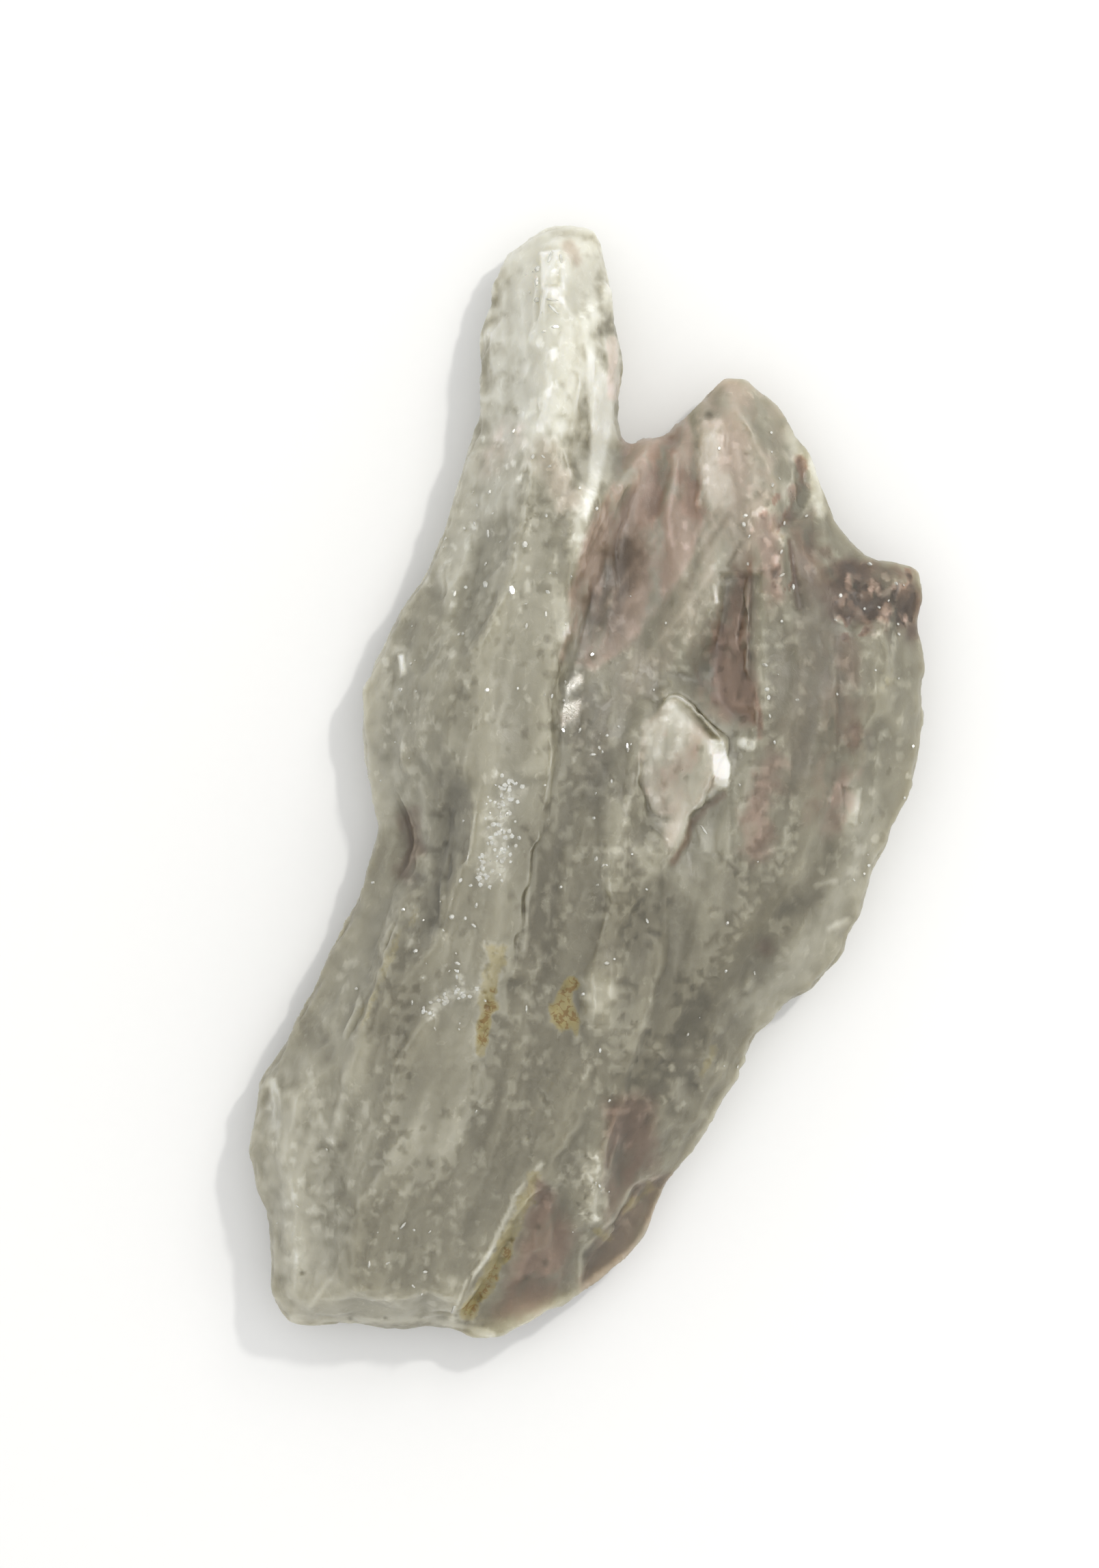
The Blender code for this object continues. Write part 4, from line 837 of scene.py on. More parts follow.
class Bench:
    """Builds a node tree: every node comes from one method, and values reckon as Python numbers do."""

    def __init__(self, tree: bpy.types.NodeTree) -> None:
        """Start on a tree."""
        self.tree = tree

    def node(self, kind: str, settings: Mapping[str, Any] | None = None,
             sockets: Mapping[str | int, Any] | None = None) -> bpy.types.Node:
        """Add a node.

        Args:
            kind: The node's type.
            settings: Its properties, which are set first.
            sockets: Its inputs by name or place, each a value, a tap or an output socket.

        Returns:
            The new node.
        """
        made = self.tree.nodes.new(kind)
        for name, value in (settings or {}).items():
            setattr(made, name, value)
        for key, value in (sockets or {}).items():
            source = value.socket if isinstance(value, Tap) else value
            if isinstance(source, bpy.types.NodeSocket):
                self.tree.links.new(source, made.inputs[key])
            else:
                made.inputs[key].default_value = source
        return made

    def tap(self, kind: str, settings: Mapping[str, Any] | None = None,
            sockets: Mapping[str | int, Any] | None = None, output: str | int = 0) -> Tap:
        """Add a node and take one of its outputs."""
        return Tap(self, self.node(kind, settings, sockets).outputs[output])

    def reckon(self, operation: str, *values: Any) -> Tap:
        """Add a Math node on the values."""
        return self.tap("ShaderNodeMath", {"operation": operation}, dict(enumerate(values)))

    def vector(self, operation: str, *values: Any) -> Tap:
        """Add a Vector Math node on the values."""
        return self.tap("ShaderNodeVectorMath", {"operation": operation}, dict(enumerate(values)))

    def blend(self, factor: Any, first: Any, second: Any, blend_type: str = "MIX") -> Tap:
        """Mix two colours.

        Args:
            factor: How much of the second colour there is.
            first: The first colour.
            second: The second colour.
            blend_type: How the two are mixed.

        Returns:
            The mixed colour.
        """
        settings = {"data_type": "RGBA", "blend_type": blend_type, "clamp_factor": True}
        colours = [c if isinstance(c, Tap) else (*c, 1.0) for c in (first, second)]
        return self.tap("ShaderNodeMix", settings, {0: factor, 6: colours[0], 7: colours[1]}, 2)

    def ramp(self, value: Tap, low: float, high: float) -> Tap:
        """Ease a value from 0 at the low end to 1 at the high end."""
        settings = {"interpolation_type": "SMOOTHSTEP"}
        return self.tap("ShaderNodeMapRange", settings, {0: value, 1: low, 2: high, 3: 0.0, 4: 1.0})

    def noise(self, place: Tap, scale: float = 1.0, detail: float = 3.0, roughness: float = 0.55,
              distortion: float = 0.0, output: str = "Fac") -> Tap:
        """Add a Noise Texture on a place.

        Args:
            place: Where the noise is read.
            scale: How fine it is.
            detail: How many finer layers it has.
            roughness: How strong these are.
            distortion: How far it is bent by itself.
            output: The output that is read: Fac or Color.

        Returns:
            The noise, from 0 to 1.
        """
        sockets = {"Vector": place, "Scale": scale, "Detail": detail, "Roughness": roughness,
                   "Distortion": distortion}
        return self.tap("ShaderNodeTexNoise", {}, sockets, output)

    def cells(self, place: Tap, feature: str = "F1", output: str = "Color") -> Tap:
        """Add a Voronoi Texture on a place: cells of random colour, or the distance to their edges."""
        return self.tap("ShaderNodeTexVoronoi", {"feature": feature}, {"Vector": place, "Scale": 1.0}, output)

    def place(self) -> Tap:
        """Read the place on the piece in millimetres."""
        metres = self.tap("ShaderNodeTexCoord", output="Object")
        return self.tap("ShaderNodeVectorMath", {"operation": "SCALE"}, {0: metres, "Scale": 1.0 / MM})

    def parts(self, vector: Tap) -> tuple[Tap, Tap, Tap]:
        """Split a vector or colour into its three numbers."""
        split = self.node("ShaderNodeSeparateXYZ", {}, {0: vector})
        return tuple(Tap(self, socket) for socket in split.outputs)

    def finish(self, instances: bpy.types.NodeSocket, material: bpy.types.Material) -> None:
        """End a Geometry Nodes tree: make its instances real and give them their material.

        Args:
            instances: The instances.
            material: Their material.
        """
        real = self.node("GeometryNodeRealizeInstances", {}, {0: instances}).outputs[0]
        dressed = self.node("GeometryNodeSetMaterial", {}, {"Geometry": real, "Material": material})
        self.node("NodeGroupOutput", {}, {0: dressed.outputs[0]})

    def attribute(self, name: str, output: str = "Fac") -> Tap:
        """Read one of the mesh's own attributes."""
        return self.tap("ShaderNodeAttribute", {"attribute_name": name}, {}, output)


@dataclass(frozen=True)
class Tap:
    """A node's output that takes part in sums: an expression on it adds the Math nodes it needs."""

    bench: Bench
    socket: bpy.types.NodeSocket

    def __add__(self, other: Any) -> Tap:
        """Add."""
        return self.bench.reckon("ADD", self, other)

    def __radd__(self, other: Any) -> Tap:
        """Add to a number."""
        return self.bench.reckon("ADD", other, self)

    def __sub__(self, other: Any) -> Tap:
        """Subtract."""
        return self.bench.reckon("SUBTRACT", self, other)

    def __rsub__(self, other: Any) -> Tap:
        """Subtract from a number."""
        return self.bench.reckon("SUBTRACT", other, self)

    def __mul__(self, other: Any) -> Tap:
        """Multiply."""
        return self.bench.reckon("MULTIPLY", self, other)

    def __rmul__(self, other: Any) -> Tap:
        """Multiply a number."""
        return self.bench.reckon("MULTIPLY", other, self)

    def __truediv__(self, other: Any) -> Tap:
        """Divide."""
        return self.bench.reckon("DIVIDE", self, other)

    def centred(self) -> Tap:
        """Move a pattern that runs from 0 to 1 so that it runs about 0."""
        return self - 0.5

    def held(self) -> Tap:
        """Hold between 0 and 1."""
        return self.bench.tap("ShaderNodeClamp", {}, {0: self, 1: 0.0, 2: 1.0})


def new_material(name: str) -> tuple[bpy.types.Material, Bench, bpy.types.Node]:
    """Start a material.

    Args:
        name: The material's name.

    Returns:
        The material, a bench on its tree, and its output node.
    """
    material = bpy.data.materials.new(name)
    material.use_nodes = True
    material.node_tree.nodes.clear()
    bench = Bench(material.node_tree)
    return material, bench, bench.node("ShaderNodeOutputMaterial")


def geometry_tree(name: str, given: str, sizes: Sequence[str],
                  result: str) -> tuple[bpy.types.NodeTree, dict[str, str]]:
    """Start a Geometry Nodes tree.

    Args:
        name: The tree's name.
        given: The name of its geometry input.
        sizes: The names of its number inputs.
        result: The name of its geometry output.

    Returns:
        The tree, and the identifier of each number input.
    """
    tree = bpy.data.node_groups.new(name, "GeometryNodeTree")
    tree.is_modifier = True
    tree.interface.new_socket(given, in_out="INPUT", socket_type="NodeSocketGeometry")
    sockets = {
        size: tree.interface.new_socket(size, in_out="INPUT", socket_type="NodeSocketFloat").identifier
        for size in sizes
    }
    tree.interface.new_socket(result, in_out="OUTPUT", socket_type="NodeSocketGeometry")
    return tree, sockets


def new_piece(name: str, mesh: bpy.types.Mesh) -> bpy.types.Object:
    """Put a mesh into the scene.

    Args:
        name: The name that the object and the mesh get.
        mesh: The mesh.

    Returns:
        The object.
    """
    mesh.name = name
    item = bpy.data.objects.new(name, mesh)
    bpy.context.scene.collection.objects.link(item)
    return item


def read(rows: bpy.types.bpy_prop_collection, name: str, width: int, kind: type = float) -> Field:
    """Read a value of every row of a mesh's collection.

    Args:
        rows: The collection, such as the mesh's vertices.
        name: The value's name.
        width: How many numbers it has.
        kind: Their type.

    Returns:
        The values, one row each.
    """
    flat = np.empty(len(rows) * width, dtype=kind)
    rows.foreach_get(name, flat)
    return flat.reshape(-1, width)


def plain_mesh(item: bpy.types.Object) -> bpy.types.Mesh:
    """Turn an object with its modifiers into a plain mesh, and remove the object.

    Args:
        item: The object.

    Returns:
        The mesh.
    """
    graph = bpy.context.evaluated_depsgraph_get()
    mesh = bpy.data.meshes.new_from_object(item.evaluated_get(graph))
    bpy.data.objects.remove(item)
    return mesh


@dataclass(frozen=True)
class Figure:
    """The patterns in the quartz, each from 0 to 1."""

    veils: Tap
    streaks: Tap
    mottle: Tap
    grain: Tap
    tile: Tap
    tile_pick: Tap
    tile_turn: Tap
    chip: Tap
    chip_pick: Tap
    seam: Tap


@dataclass(frozen=True)
class CloudyQuartz:
    """The stone's finish: cloudy quartz with clear windows, mauve depths, pale veils and iron stains.

    The cells say how often a pattern repeats in a millimetre across the growth lines, along them and in
    depth. The levels say how many screen levels of tone a pattern adds, and a band where it sets in.
    """

    tones: tuple[tuple[float, Colour], ...] = (
        (60.0, srgb(76, 72, 57)),
        (100.0, srgb(120, 115, 97)),
        (135.0, srgb(154, 150, 132)),
        (170.0, srgb(185, 182, 166)),
        (205.0, srgb(213, 212, 200)),
        (240.0, srgb(243, 243, 237)),
    )
    mauve: Colour = (1.18, 0.90, 0.90)
    mauve_band: tuple[float, float] = (0.30, 0.55)
    iron_pale: Colour = srgb(188, 174, 116)
    iron_brown: Colour = srgb(132, 100, 44)
    faint_band: tuple[float, float] = (0.25, 0.55)
    strong_band: tuple[float, float] = (0.95, 1.12)
    squiggle_band: tuple[float, float] = (0.015, 0.06)
    ior: float = 1.544
    satin: float = 0.44
    satin_spread: float = 0.16
    gloss_share: float = 0.62
    least_roughness: float = 0.02
    cloudiness: float = 0.86
    clear_share: float = 0.75
    clear_tint: float = 0.45
    glow_depth: float = 4.5 * MM
    glow_share: float = 1.0
    glow_reach: Triple = (1.0, 0.92, 0.72)
    water_colour: Colour = (0.78, 0.74, 0.62)
    water_density: float = 170.0
    drift: float = 1.6
    veil_cells: Triple = (0.45, 0.16, 0.4)
    streak_cells: Triple = (2.2, 0.6, 2.0)
    tile_cells: Triple = (1.25, 0.7, 1.0)
    chip_cells: Triple = (3.6, 2.6, 3.0)
    seam_cells: Triple = (0.62, 0.17, 0.5)
    veil_levels: float = 9.0
    streak_levels: float = 5.0
    mottle_levels: float = 3.0
    grain_levels: float = 2.0
    tile_levels: float = 3.5
    chip_levels: float = 2.5
    busy_band: tuple[float, float] = (0.42, 0.62)
    pale_tile_from: float = 0.90
    pale_tile_levels: float = 10.0
    bright_chip_from: float = 0.97
    bright_chip_levels: float = 17.0
    dark_chip_to: float = 0.025
    dark_chip_levels: float = 5.0
    seam_width: float = 0.035
    seam_band: tuple[float, float] = (0.48, 0.60)
    seam_levels: float = 10.0
    calming: float = 0.6
    # The druse patches are lighter in cells: the crystals' pale colour and a painted shimmer of their faces
    druse_pale_and_shimmer_band: tuple[float, float] = (0.35, 0.9)
    druse_pale_and_shimmer_levels: float = 26.0
    bump_strength: float = 0.4
    bump_height: float = 0.08 * MM

    def build(self) -> bpy.types.Material:
        """Build the material.

        Returns:
            The finished material.
        """
        material, bench, output = new_material("cloudy_quartz")
        place = bench.place()
        figure = self.figure(bench, place)
        colour = self.toned(bench, self.level(bench, figure))
        mauve = (bench.attribute(Trait.MAUVE.value) * bench.ramp(figure.veils, *self.mauve_band)).held()
        colour = bench.blend(mauve, colour, bench.vector("MULTIPLY", colour, self.mauve))
        colour = self.stained(bench, colour, place, figure)
        shared = {"Roughness": self.roughness(bench, figure), "IOR": self.ior,
                  "Normal": self.normal(bench, figure)}
        milky = bench.node("ShaderNodeBsdfPrincipled", {"subsurface_method": "RANDOM_WALK"}, {
            "Base Color": colour, "Subsurface Weight": self.glow_share,
            "Subsurface Radius": self.glow_reach, "Subsurface Scale": self.glow_depth, **shared,
        })
        limpid = bench.node("ShaderNodeBsdfPrincipled", {}, {
            "Base Color": bench.blend(self.clear_tint, colour, (1.0, 1.0, 1.0)),
            "Transmission Weight": 1.0, **shared,
        })
        clear = bench.attribute(Trait.CLEAR.value)
        cloud = self.cloudiness - clear * self.clear_share
        cloud = (cloud + figure.veils.centred() * 0.2 + figure.mottle.centred() * 0.1).held()
        surface = bench.node("ShaderNodeMixShader", {}, {0: cloud, 1: limpid.outputs[0], 2: milky.outputs[0]})
        depth = bench.node("ShaderNodeVolumeAbsorption", {}, {
            "Color": (*self.water_colour, 1.0), "Density": self.water_density,
        })
        material.node_tree.links.new(surface.outputs[0], output.inputs["Surface"])
        material.node_tree.links.new(depth.outputs[0], output.inputs["Volume"])
        return material

    def figure(self, bench: Bench, place: Tap) -> Figure:
        """Read the patterns, most of which follow the growth lines.

        Args:
            bench: The bench to build on.
            place: The place on the stone in millimetres.

        Returns:
            The patterns.
        """
        drift = bench.vector("SUBTRACT", bench.noise(place, 0.8, 3.0, output="Color"), (0.5, 0.5, 0.5))
        drift = bench.vector("MULTIPLY", drift, (self.drift, self.drift, self.drift))
        bent = bench.vector("ADD", bench.attribute("growth", "Vector"), drift)
        stretches = (self.veil_cells, self.streak_cells, self.tile_cells, self.chip_cells, self.seam_cells)
        veils, streaks, tiles, chips, seams = (bench.vector("MULTIPLY", bent, cells) for cells in stretches)
        tile, tile_pick, tile_turn = bench.parts(bench.cells(tiles))
        chip, chip_pick, _ = bench.parts(bench.cells(chips))
        return Figure(
            veils=bench.noise(veils, detail=4.0),
            streaks=bench.noise(streaks, detail=4.0, roughness=0.62),
            mottle=bench.noise(place, 1.25, 5.0, 0.65, distortion=0.4),
            grain=bench.noise(place, 6.0, roughness=0.65),
            tile=tile, tile_pick=tile_pick, tile_turn=tile_turn, chip=chip, chip_pick=chip_pick,
            seam=bench.cells(seams, "DISTANCE_TO_EDGE", "Distance"),
        )

    def level(self, bench: Bench, figure: Figure) -> Tap:
        """Add the patterns to the painted tone.

        Args:
            bench: The bench to build on.
            figure: The patterns.

        Returns:
            The tone as a screen level.
        """
        shade = figure.veils.centred() * self.veil_levels + figure.streaks.centred() * self.streak_levels
        shade = shade + figure.mottle.centred() * self.mottle_levels
        shade = shade + figure.grain.centred() * self.grain_levels
        shade = shade + figure.tile.centred() * self.tile_levels + figure.chip.centred() * self.chip_levels
        busy = bench.ramp(figure.mottle, *self.busy_band)
        pale = bench.reckon("GREATER_THAN", figure.tile_pick, self.pale_tile_from)
        bright = bench.reckon("GREATER_THAN", figure.chip_pick, self.bright_chip_from)
        dark = bench.reckon("LESS_THAN", figure.chip_pick, self.dark_chip_to)
        shade = shade + pale * busy * self.pale_tile_levels
        shade = shade + bright * busy * self.bright_chip_levels
        shade = shade - dark * self.dark_chip_levels
        seam = 1.0 - bench.ramp(figure.seam, 0.0, self.seam_width)
        shade = shade + seam * bench.ramp(figure.streaks, *self.seam_band) * self.seam_levels
        calm = bench.attribute(Trait.CALM.value)
        level = bench.attribute(Trait.TONE.value) + shade * (1.0 - calm * self.calming)
        # The druse patches are lighter in cells: the crystals' pale colour and a painted shimmer of their
        # faces
        druse = bench.attribute(Trait.DRUSE.value) * bench.ramp(figure.chip, *self.druse_pale_and_shimmer_band)
        return level + druse * self.druse_pale_and_shimmer_levels

    def roughness(self, bench: Bench, figure: Figure) -> Tap:
        """Reckon how rough the surface is.

        Args:
            bench: The bench to build on.
            figure: The patterns.

        Returns:
            The roughness.
        """
        gloss = bench.attribute(Trait.GLOSS.value)
        satin = self.satin + figure.mottle.centred() * self.satin_spread
        satin = satin + figure.tile_turn.centred() * self.satin_spread
        return satin * (1.0 - gloss * self.gloss_share) + self.least_roughness

    def normal(self, bench: Bench, figure: Figure) -> Tap:
        """Bump the surface a little.

        Args:
            bench: The bench to build on.
            figure: The patterns.

        Returns:
            The bumped normal.
        """
        height = figure.tile * 0.35 + figure.chip * 0.25 + figure.streaks * 0.8 + figure.grain * 0.25
        sockets = {"Strength": self.bump_strength, "Distance": self.bump_height, "Height": height}
        return bench.tap("ShaderNodeBump", {}, sockets)

    def toned(self, bench: Bench, level: Tap) -> Tap:
        """Turn a tone level into the quartz's colour.

        Args:
            bench: The bench to build on.
            level: The tone as a screen level.

        Returns:
            The colour.
        """
        low, high = self.tones[0][0], self.tones[-1][0]
        node = bench.node("ShaderNodeValToRGB", {}, {0: ((level - low) / (high - low)).held()})
        stops = node.color_ramp.elements
        while len(stops) < len(self.tones):
            stops.new(0.5)
        for stop, (at, colour) in zip(stops, self.tones):
            stop.position = (at - low) / (high - low)
            stop.color = (*colour, 1.0)
        return Tap(bench, node.outputs[0])

    def stained(self, bench: Bench, colour: Tap, place: Tap, figure: Figure) -> Tap:
        """Lay the iron stains over the quartz's colour: a faint ochre, and brown squiggles in its midst.

        Args:
            bench: The bench to build on.
            colour: The quartz's colour.
            place: The place on the stone in millimetres.
            figure: The patterns, of which the mottle and the grain break the stain up.

        Returns:
            The stained colour.
        """
        iron = bench.attribute(Trait.IRON.value)
        lines = bench.reckon("ABSOLUTE", bench.noise(place, 1.6, 2.0, 0.5, 0.6).centred())
        squiggle = 1.0 - bench.ramp(lines, *self.squiggle_band)
        blotches = figure.mottle.centred() * 0.5
        specks = figure.grain.centred() * 0.5
        faint = bench.ramp(iron + blotches + specks, *self.faint_band) * iron
        strong = bench.ramp(iron + squiggle * 0.35 + blotches, *self.strong_band)
        ochre = bench.blend(0.5, self.iron_pale, bench.blend(1.0, colour, self.iron_pale, "MULTIPLY"))
        colour = bench.blend(faint.held(), colour, ochre)
        return bench.blend(strong * 0.75, colour, self.iron_brown)


@dataclass(frozen=True)
class DruseQuartz:
    """The small druse crystals' finish: clear and polished, pale as their own colour and as a painted glint.
    """

    name: str = "druse_quartz"
    # A pale tint: the crystals' own colour, and a painted glint that shows with no light mirrored
    tint: Colour = srgb(226, 228, 224)
    cloud_tint: Colour = srgb(192, 190, 180)
    roughness: float = 0.07
    ior: float = 1.544
    clearness: float = 0.3

    def build(self) -> bpy.types.Material:
        """Build the material.

        Returns:
            The finished material.
        """
        material, bench, output = new_material(self.name)
        cloud = bench.noise(bench.place(), 2.0, roughness=0.6)
        colour = bench.blend(bench.ramp(cloud, 0.3, 0.7), self.cloud_tint, self.tint)
        rough = self.roughness + bench.ramp(cloud, 0.45, 0.8) * 0.12
        shader = bench.node("ShaderNodeBsdfPrincipled", {}, {
            "Base Color": colour, "Roughness": rough, "IOR": self.ior, "Transmission Weight": self.clearness,
        })
        material.node_tree.links.new(shader.outputs[0], output.inputs["Surface"])
        return material


@dataclass(frozen=True)
class PaleCard:
    """The finish of the floor: plain matt card with a trace of grain."""

    colour: Colour = (0.86, 0.86, 0.85)
    grain: float = 0.985
    grain_scale: float = 900.0
    roughness: float = 0.9

    def build(self) -> bpy.types.Material:
        """Build the material.

        Returns:
            The finished material.
        """
        material, bench, output = new_material("pale_card")
        grain = bench.noise(bench.tap("ShaderNodeTexCoord", output="Object"), self.grain_scale, 2.0)
        colour = bench.blend(grain, self.colour, tuple(self.grain * value for value in self.colour))
        shader = bench.node("ShaderNodeBsdfPrincipled", {}, {
            "Base Color": colour, "Roughness": self.roughness,
        })
        material.node_tree.links.new(shader.outputs[0], output.inputs["Surface"])
        return material


@dataclass(frozen=True)
class Reading:
    """How a noise is read: the sides of its cells in millimetres, its slice, and where it starts."""

    wide: float
    long: float
    layer: float = 0.0
    start_wide: float = 0.0
    start_long: float = 0.0

    def of(self, u: Field, v: Field) -> tuple[Field, Field, float]:
        """Turn places in millimetres into places in the noise."""
        return u / self.wide + self.start_wide, v / self.long + self.start_long, self.layer


WANDER = Reading(1.1, 1.1)
BEND = Reading(2.5, 5.0, 9.0)
SWELL = Reading(1.5, 7.0)
STRIAE = Reading(0.6, 5.0, 4.0)
FINE_STRIAE = Reading(0.36, 2.4, 8.0)
BROKEN = Reading(6.0, 9.0, 3.0)
PEBBLES = Reading(0.8, 0.8, 2.0)
STAIN_PITS = Reading(0.55, 0.7, 6.0)
DRUSE_BED = Reading(0.45, 0.45, 5.0)
BACK_SWELL = Reading(1.6, 6.0, start_wide=50.0)
BACK_STRIAE = Reading(0.55, 4.0, start_long=30.0)

BODY_MARKS = BLADE_MARKS + RIGHT_MARKS + LOWER_MARKS


@dataclass
class StoneBody:
    """The whole stone: one natural piece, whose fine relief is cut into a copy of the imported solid."""

    weld: float = 0.001
    voxel: float = 0.205
    triangles: int = 192_000
    back_from: float = -0.2
    back_share: float = 0.4
    rounding: int = 5
    easing: int = 160
    ease: float = 0.72
    growth: GrowthLines = GrowthLines()
    striae: float = 0.014
    fine_striae: float = 0.6
    swell: float = 0.035
    bend: float = 0.35
    pebbles: float = 0.014
    calming: float = 0.6
    ledge_share: float = 0.36
    mark_share: float = 0.3
    pits: float = 0.12
    pit_contrast: float = 1.6
    pit_from: float = 0.1
    druse_bed: float = 0.08
    jags: float = 0.12
    jag_crest: float = 0.35
    jag_cell: Triple = (1.3, 1.3, 1.6)
    back_relief: float = 0.7
    lying_from: float = 0.55
    facing_from: float = 0.25
    facing_band: float = 0.35
    full_thickness: float = 2.6
    flakes: tuple[Flakes, ...] = (
        Flakes(seed=31, across=1.25, along=3.4, tilt=0.035, step=0.016),
        Flakes(seed=47, across=0.7, along=1.5, tilt=0.05, step=0.012),
    )
    flake_starts: tuple[float, float] = (40.0, 9.0)
    whole_flakes: float = 0.35
    broken_contrast: float = 1.2
    chips: Flakes = Flakes(seed=53, across=1.8, along=4.6, tilt=0.16, step=0.05)
    rim_chips: float = 0.4
    rim_band: tuple[float, float] = (0.05, 0.35)
    painted_band: tuple[float, float] = (0.02, 0.25)
    side_gloss: float = 0.5
    # Thin rims painted lighter: a painted glow for light passing through thin quartz
    painted_rim_glow: float = 24.0
    painted_glow_thickness: float = 1.5
    painted_glow_fade: float = 1.4
    # How the painted light on raised edges and the painted shade in hollows are reckoned
    edge_rounds: tuple[tuple[int, float], ...] = ((2, 260.0), (8, 120.0), (30, 50.0))
    painted_edge_light_range: tuple[float, float] = (-2.4, 5.5)
    painted_edge_light_limits: tuple[float, float] = (-4.5, 11.0)
    resting: float = 0.25
    resting_fade: float = 0.8
    thickness_cell: float = 0.5
    thickness_corner: tuple[float, float] = (-30.0, -45.0)
    thickness_rows: int = 1000
    noise: GradientNoise = field(default_factory=lambda: GradientNoise(17))
    ragged: GradientNoise = field(default_factory=lambda: GradientNoise(29))

    def build(self, solid: bpy.types.Object) -> bpy.types.Object:
        """Make the stone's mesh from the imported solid.

        Args:
            solid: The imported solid, which is only read.

        Returns:
            The stone, painted but not dressed.
        """
        mesh = self.even_mesh(solid)
        edges = self.edges(mesh)
        points = self.relaxed(self.points(mesh), edges, self.rounding)
        self.place(mesh, points)
        broad = self.relaxed(points, edges, self.easing)
        lying = smooth((np.abs(self.normals(mesh)[:, 2]) - self.lying_from) / self.facing_band)
        points[:, 2] += self.ease * lying * (broad[:, 2] - points[:, 2])
        self.place(mesh, points)
        self.place(mesh, self.cut(points, self.normals(mesh)))
        mesh = self.thinned(mesh)
        self.paint(mesh)
        return new_piece("prasiolite_stone", mesh)

    def even_mesh(self, solid: bpy.types.Object) -> bpy.types.Mesh:
        """Give a welded copy of the solid small even faces.

        Args:
            solid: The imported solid.

        Returns:
            The copy's mesh.
        """
        work = bmesh.new()
        work.from_mesh(solid.data)
        bmesh.ops.remove_doubles(work, verts=work.verts, dist=self.weld * MM)
        welded = bpy.data.meshes.new("welded")
        work.to_mesh(welded)
        work.free()
        item = new_piece("welded", welded)
        remesh = item.modifiers.new("even faces", "REMESH")
        remesh.mode = "VOXEL"
        remesh.voxel_size = self.voxel * MM
        return plain_mesh(item)

    def points(self, mesh: bpy.types.Mesh) -> Field:
        """Read a mesh's points in millimetres."""
        return read(mesh.vertices, "co", 3) / MM

    def normals(self, mesh: bpy.types.Mesh) -> Field:
        """Read a mesh's point normals."""
        return read(mesh.vertex_normals, "vector", 3)

    def edges(self, mesh: bpy.types.Mesh) -> Field:
        """Read which points of a mesh are neighbours, as rows of two."""
        return read(mesh.edges, "vertices", 2, np.int32)

    def place(self, mesh: bpy.types.Mesh, points: Field) -> None:
        """Write points in millimetres to a mesh."""
        mesh.vertices.foreach_set("co", (points * MM).ravel())
        mesh.update()

    def relaxed(self, points: Field, edges: Field, rounds: int, share: float = 0.5) -> Field:
        """Draw every point towards the middle of its neighbours.

        Args:
            points: The points.
            edges: Which points are neighbours.
            rounds: How often they are drawn.
            share: How far each time.

        Returns:
            The relaxed points.
        """
        count = np.bincount(edges.ravel(), minlength=len(points)).astype(float)
        for _ in range(rounds):
            middle = np.empty(points.shape)
            for axis in range(3):
                total = np.bincount(edges[:, 0], points[edges[:, 1], axis], len(points))
                total += np.bincount(edges[:, 1], points[edges[:, 0], axis], len(points))
                middle[:, axis] = total / count
            points = points + share * (middle - points)
        return points

    def cut(self, points: Field, normals: Field) -> Field:
        """Cut the fine relief.

        Args:
            points: The stone's points in millimetres.
            normals: Their normals.

        Returns:
            The points with the relief.
        """
        x, y, z = points.T
        up = normals[:, 2]
        facing = smooth((up - self.facing_from) / self.facing_band)
        back = smooth((-up - self.facing_from) / self.facing_band)
        sides = (1.0 - facing) * (1.0 - back)
        strength = smooth(self.thickness(points) / self.full_thickness)
        raised = smooth((z - self.resting) / self.resting_fade)
        away = self.side_height(points, up) * sides
        away = away + self.back_height(x, y) * back * raised * self.back_relief
        cut = points + normals * (away * strength * raised)[:, None]
        cut[:, 2] += self.front_height(x, y) * facing * strength
        for facet in FRONT_FACETS:
            cut = self.flattened(cut, facet, facing)
        cut[:, 2] = np.maximum(cut[:, 2], 0.0)
        return cut

    def side_height(self, points: Field, up: Field) -> Field:
        """Give the jags and chips of the sides.

        Args:
            points: The stone's points in millimetres.
            up: How far each faces up.

        Returns:
            The height to add to each point.
        """
        x, y, z = points.T
        jagged = self.noise.layered(*(points / self.jag_cell).T, 3)
        off_rim = smooth((np.abs(up) - self.rim_band[0]) / self.rim_band[1])
        below_rim = self.rim_chips + (1.0 - self.rim_chips) * off_rim
        return self.jags * (self.jag_crest - np.abs(jagged)) + self.chips.height(z, x + y) * below_rim

    def back_height(self, x: Field, y: Field) -> Field:
        """Give the relief of the back.

        Args:
            x: Places along X.
            y: Places along Y.

        Returns:
            The height to add to each point.
        """
        across, along = self.growth.places(x, y)
        height = self.flakes[0].height(across + self.flake_starts[0], along)
        height = height + self.swell * self.noise.at(*BACK_SWELL.of(across, along))
        return height + self.striae * self.noise.at(*BACK_STRIAE.of(across, along))

    def thickness(self, points: Field) -> Field:
        """Measure how thick the stone is at each point, from the highest and lowest points of its cell.

        Args:
            points: The stone's points in millimetres.

        Returns:
            The thicknesses in millimetres.
        """
        cells = np.floor((points[:, :2] - self.thickness_corner) / self.thickness_cell).astype(int)
        key = cells[:, 0] * self.thickness_rows + cells[:, 1]
        top = np.full(key.max() + 1, -np.inf)
        bottom = np.full(key.max() + 1, np.inf)
        np.maximum.at(top, key, points[:, 2])
        np.minimum.at(bottom, key, points[:, 2])
        return (top - bottom)[key]

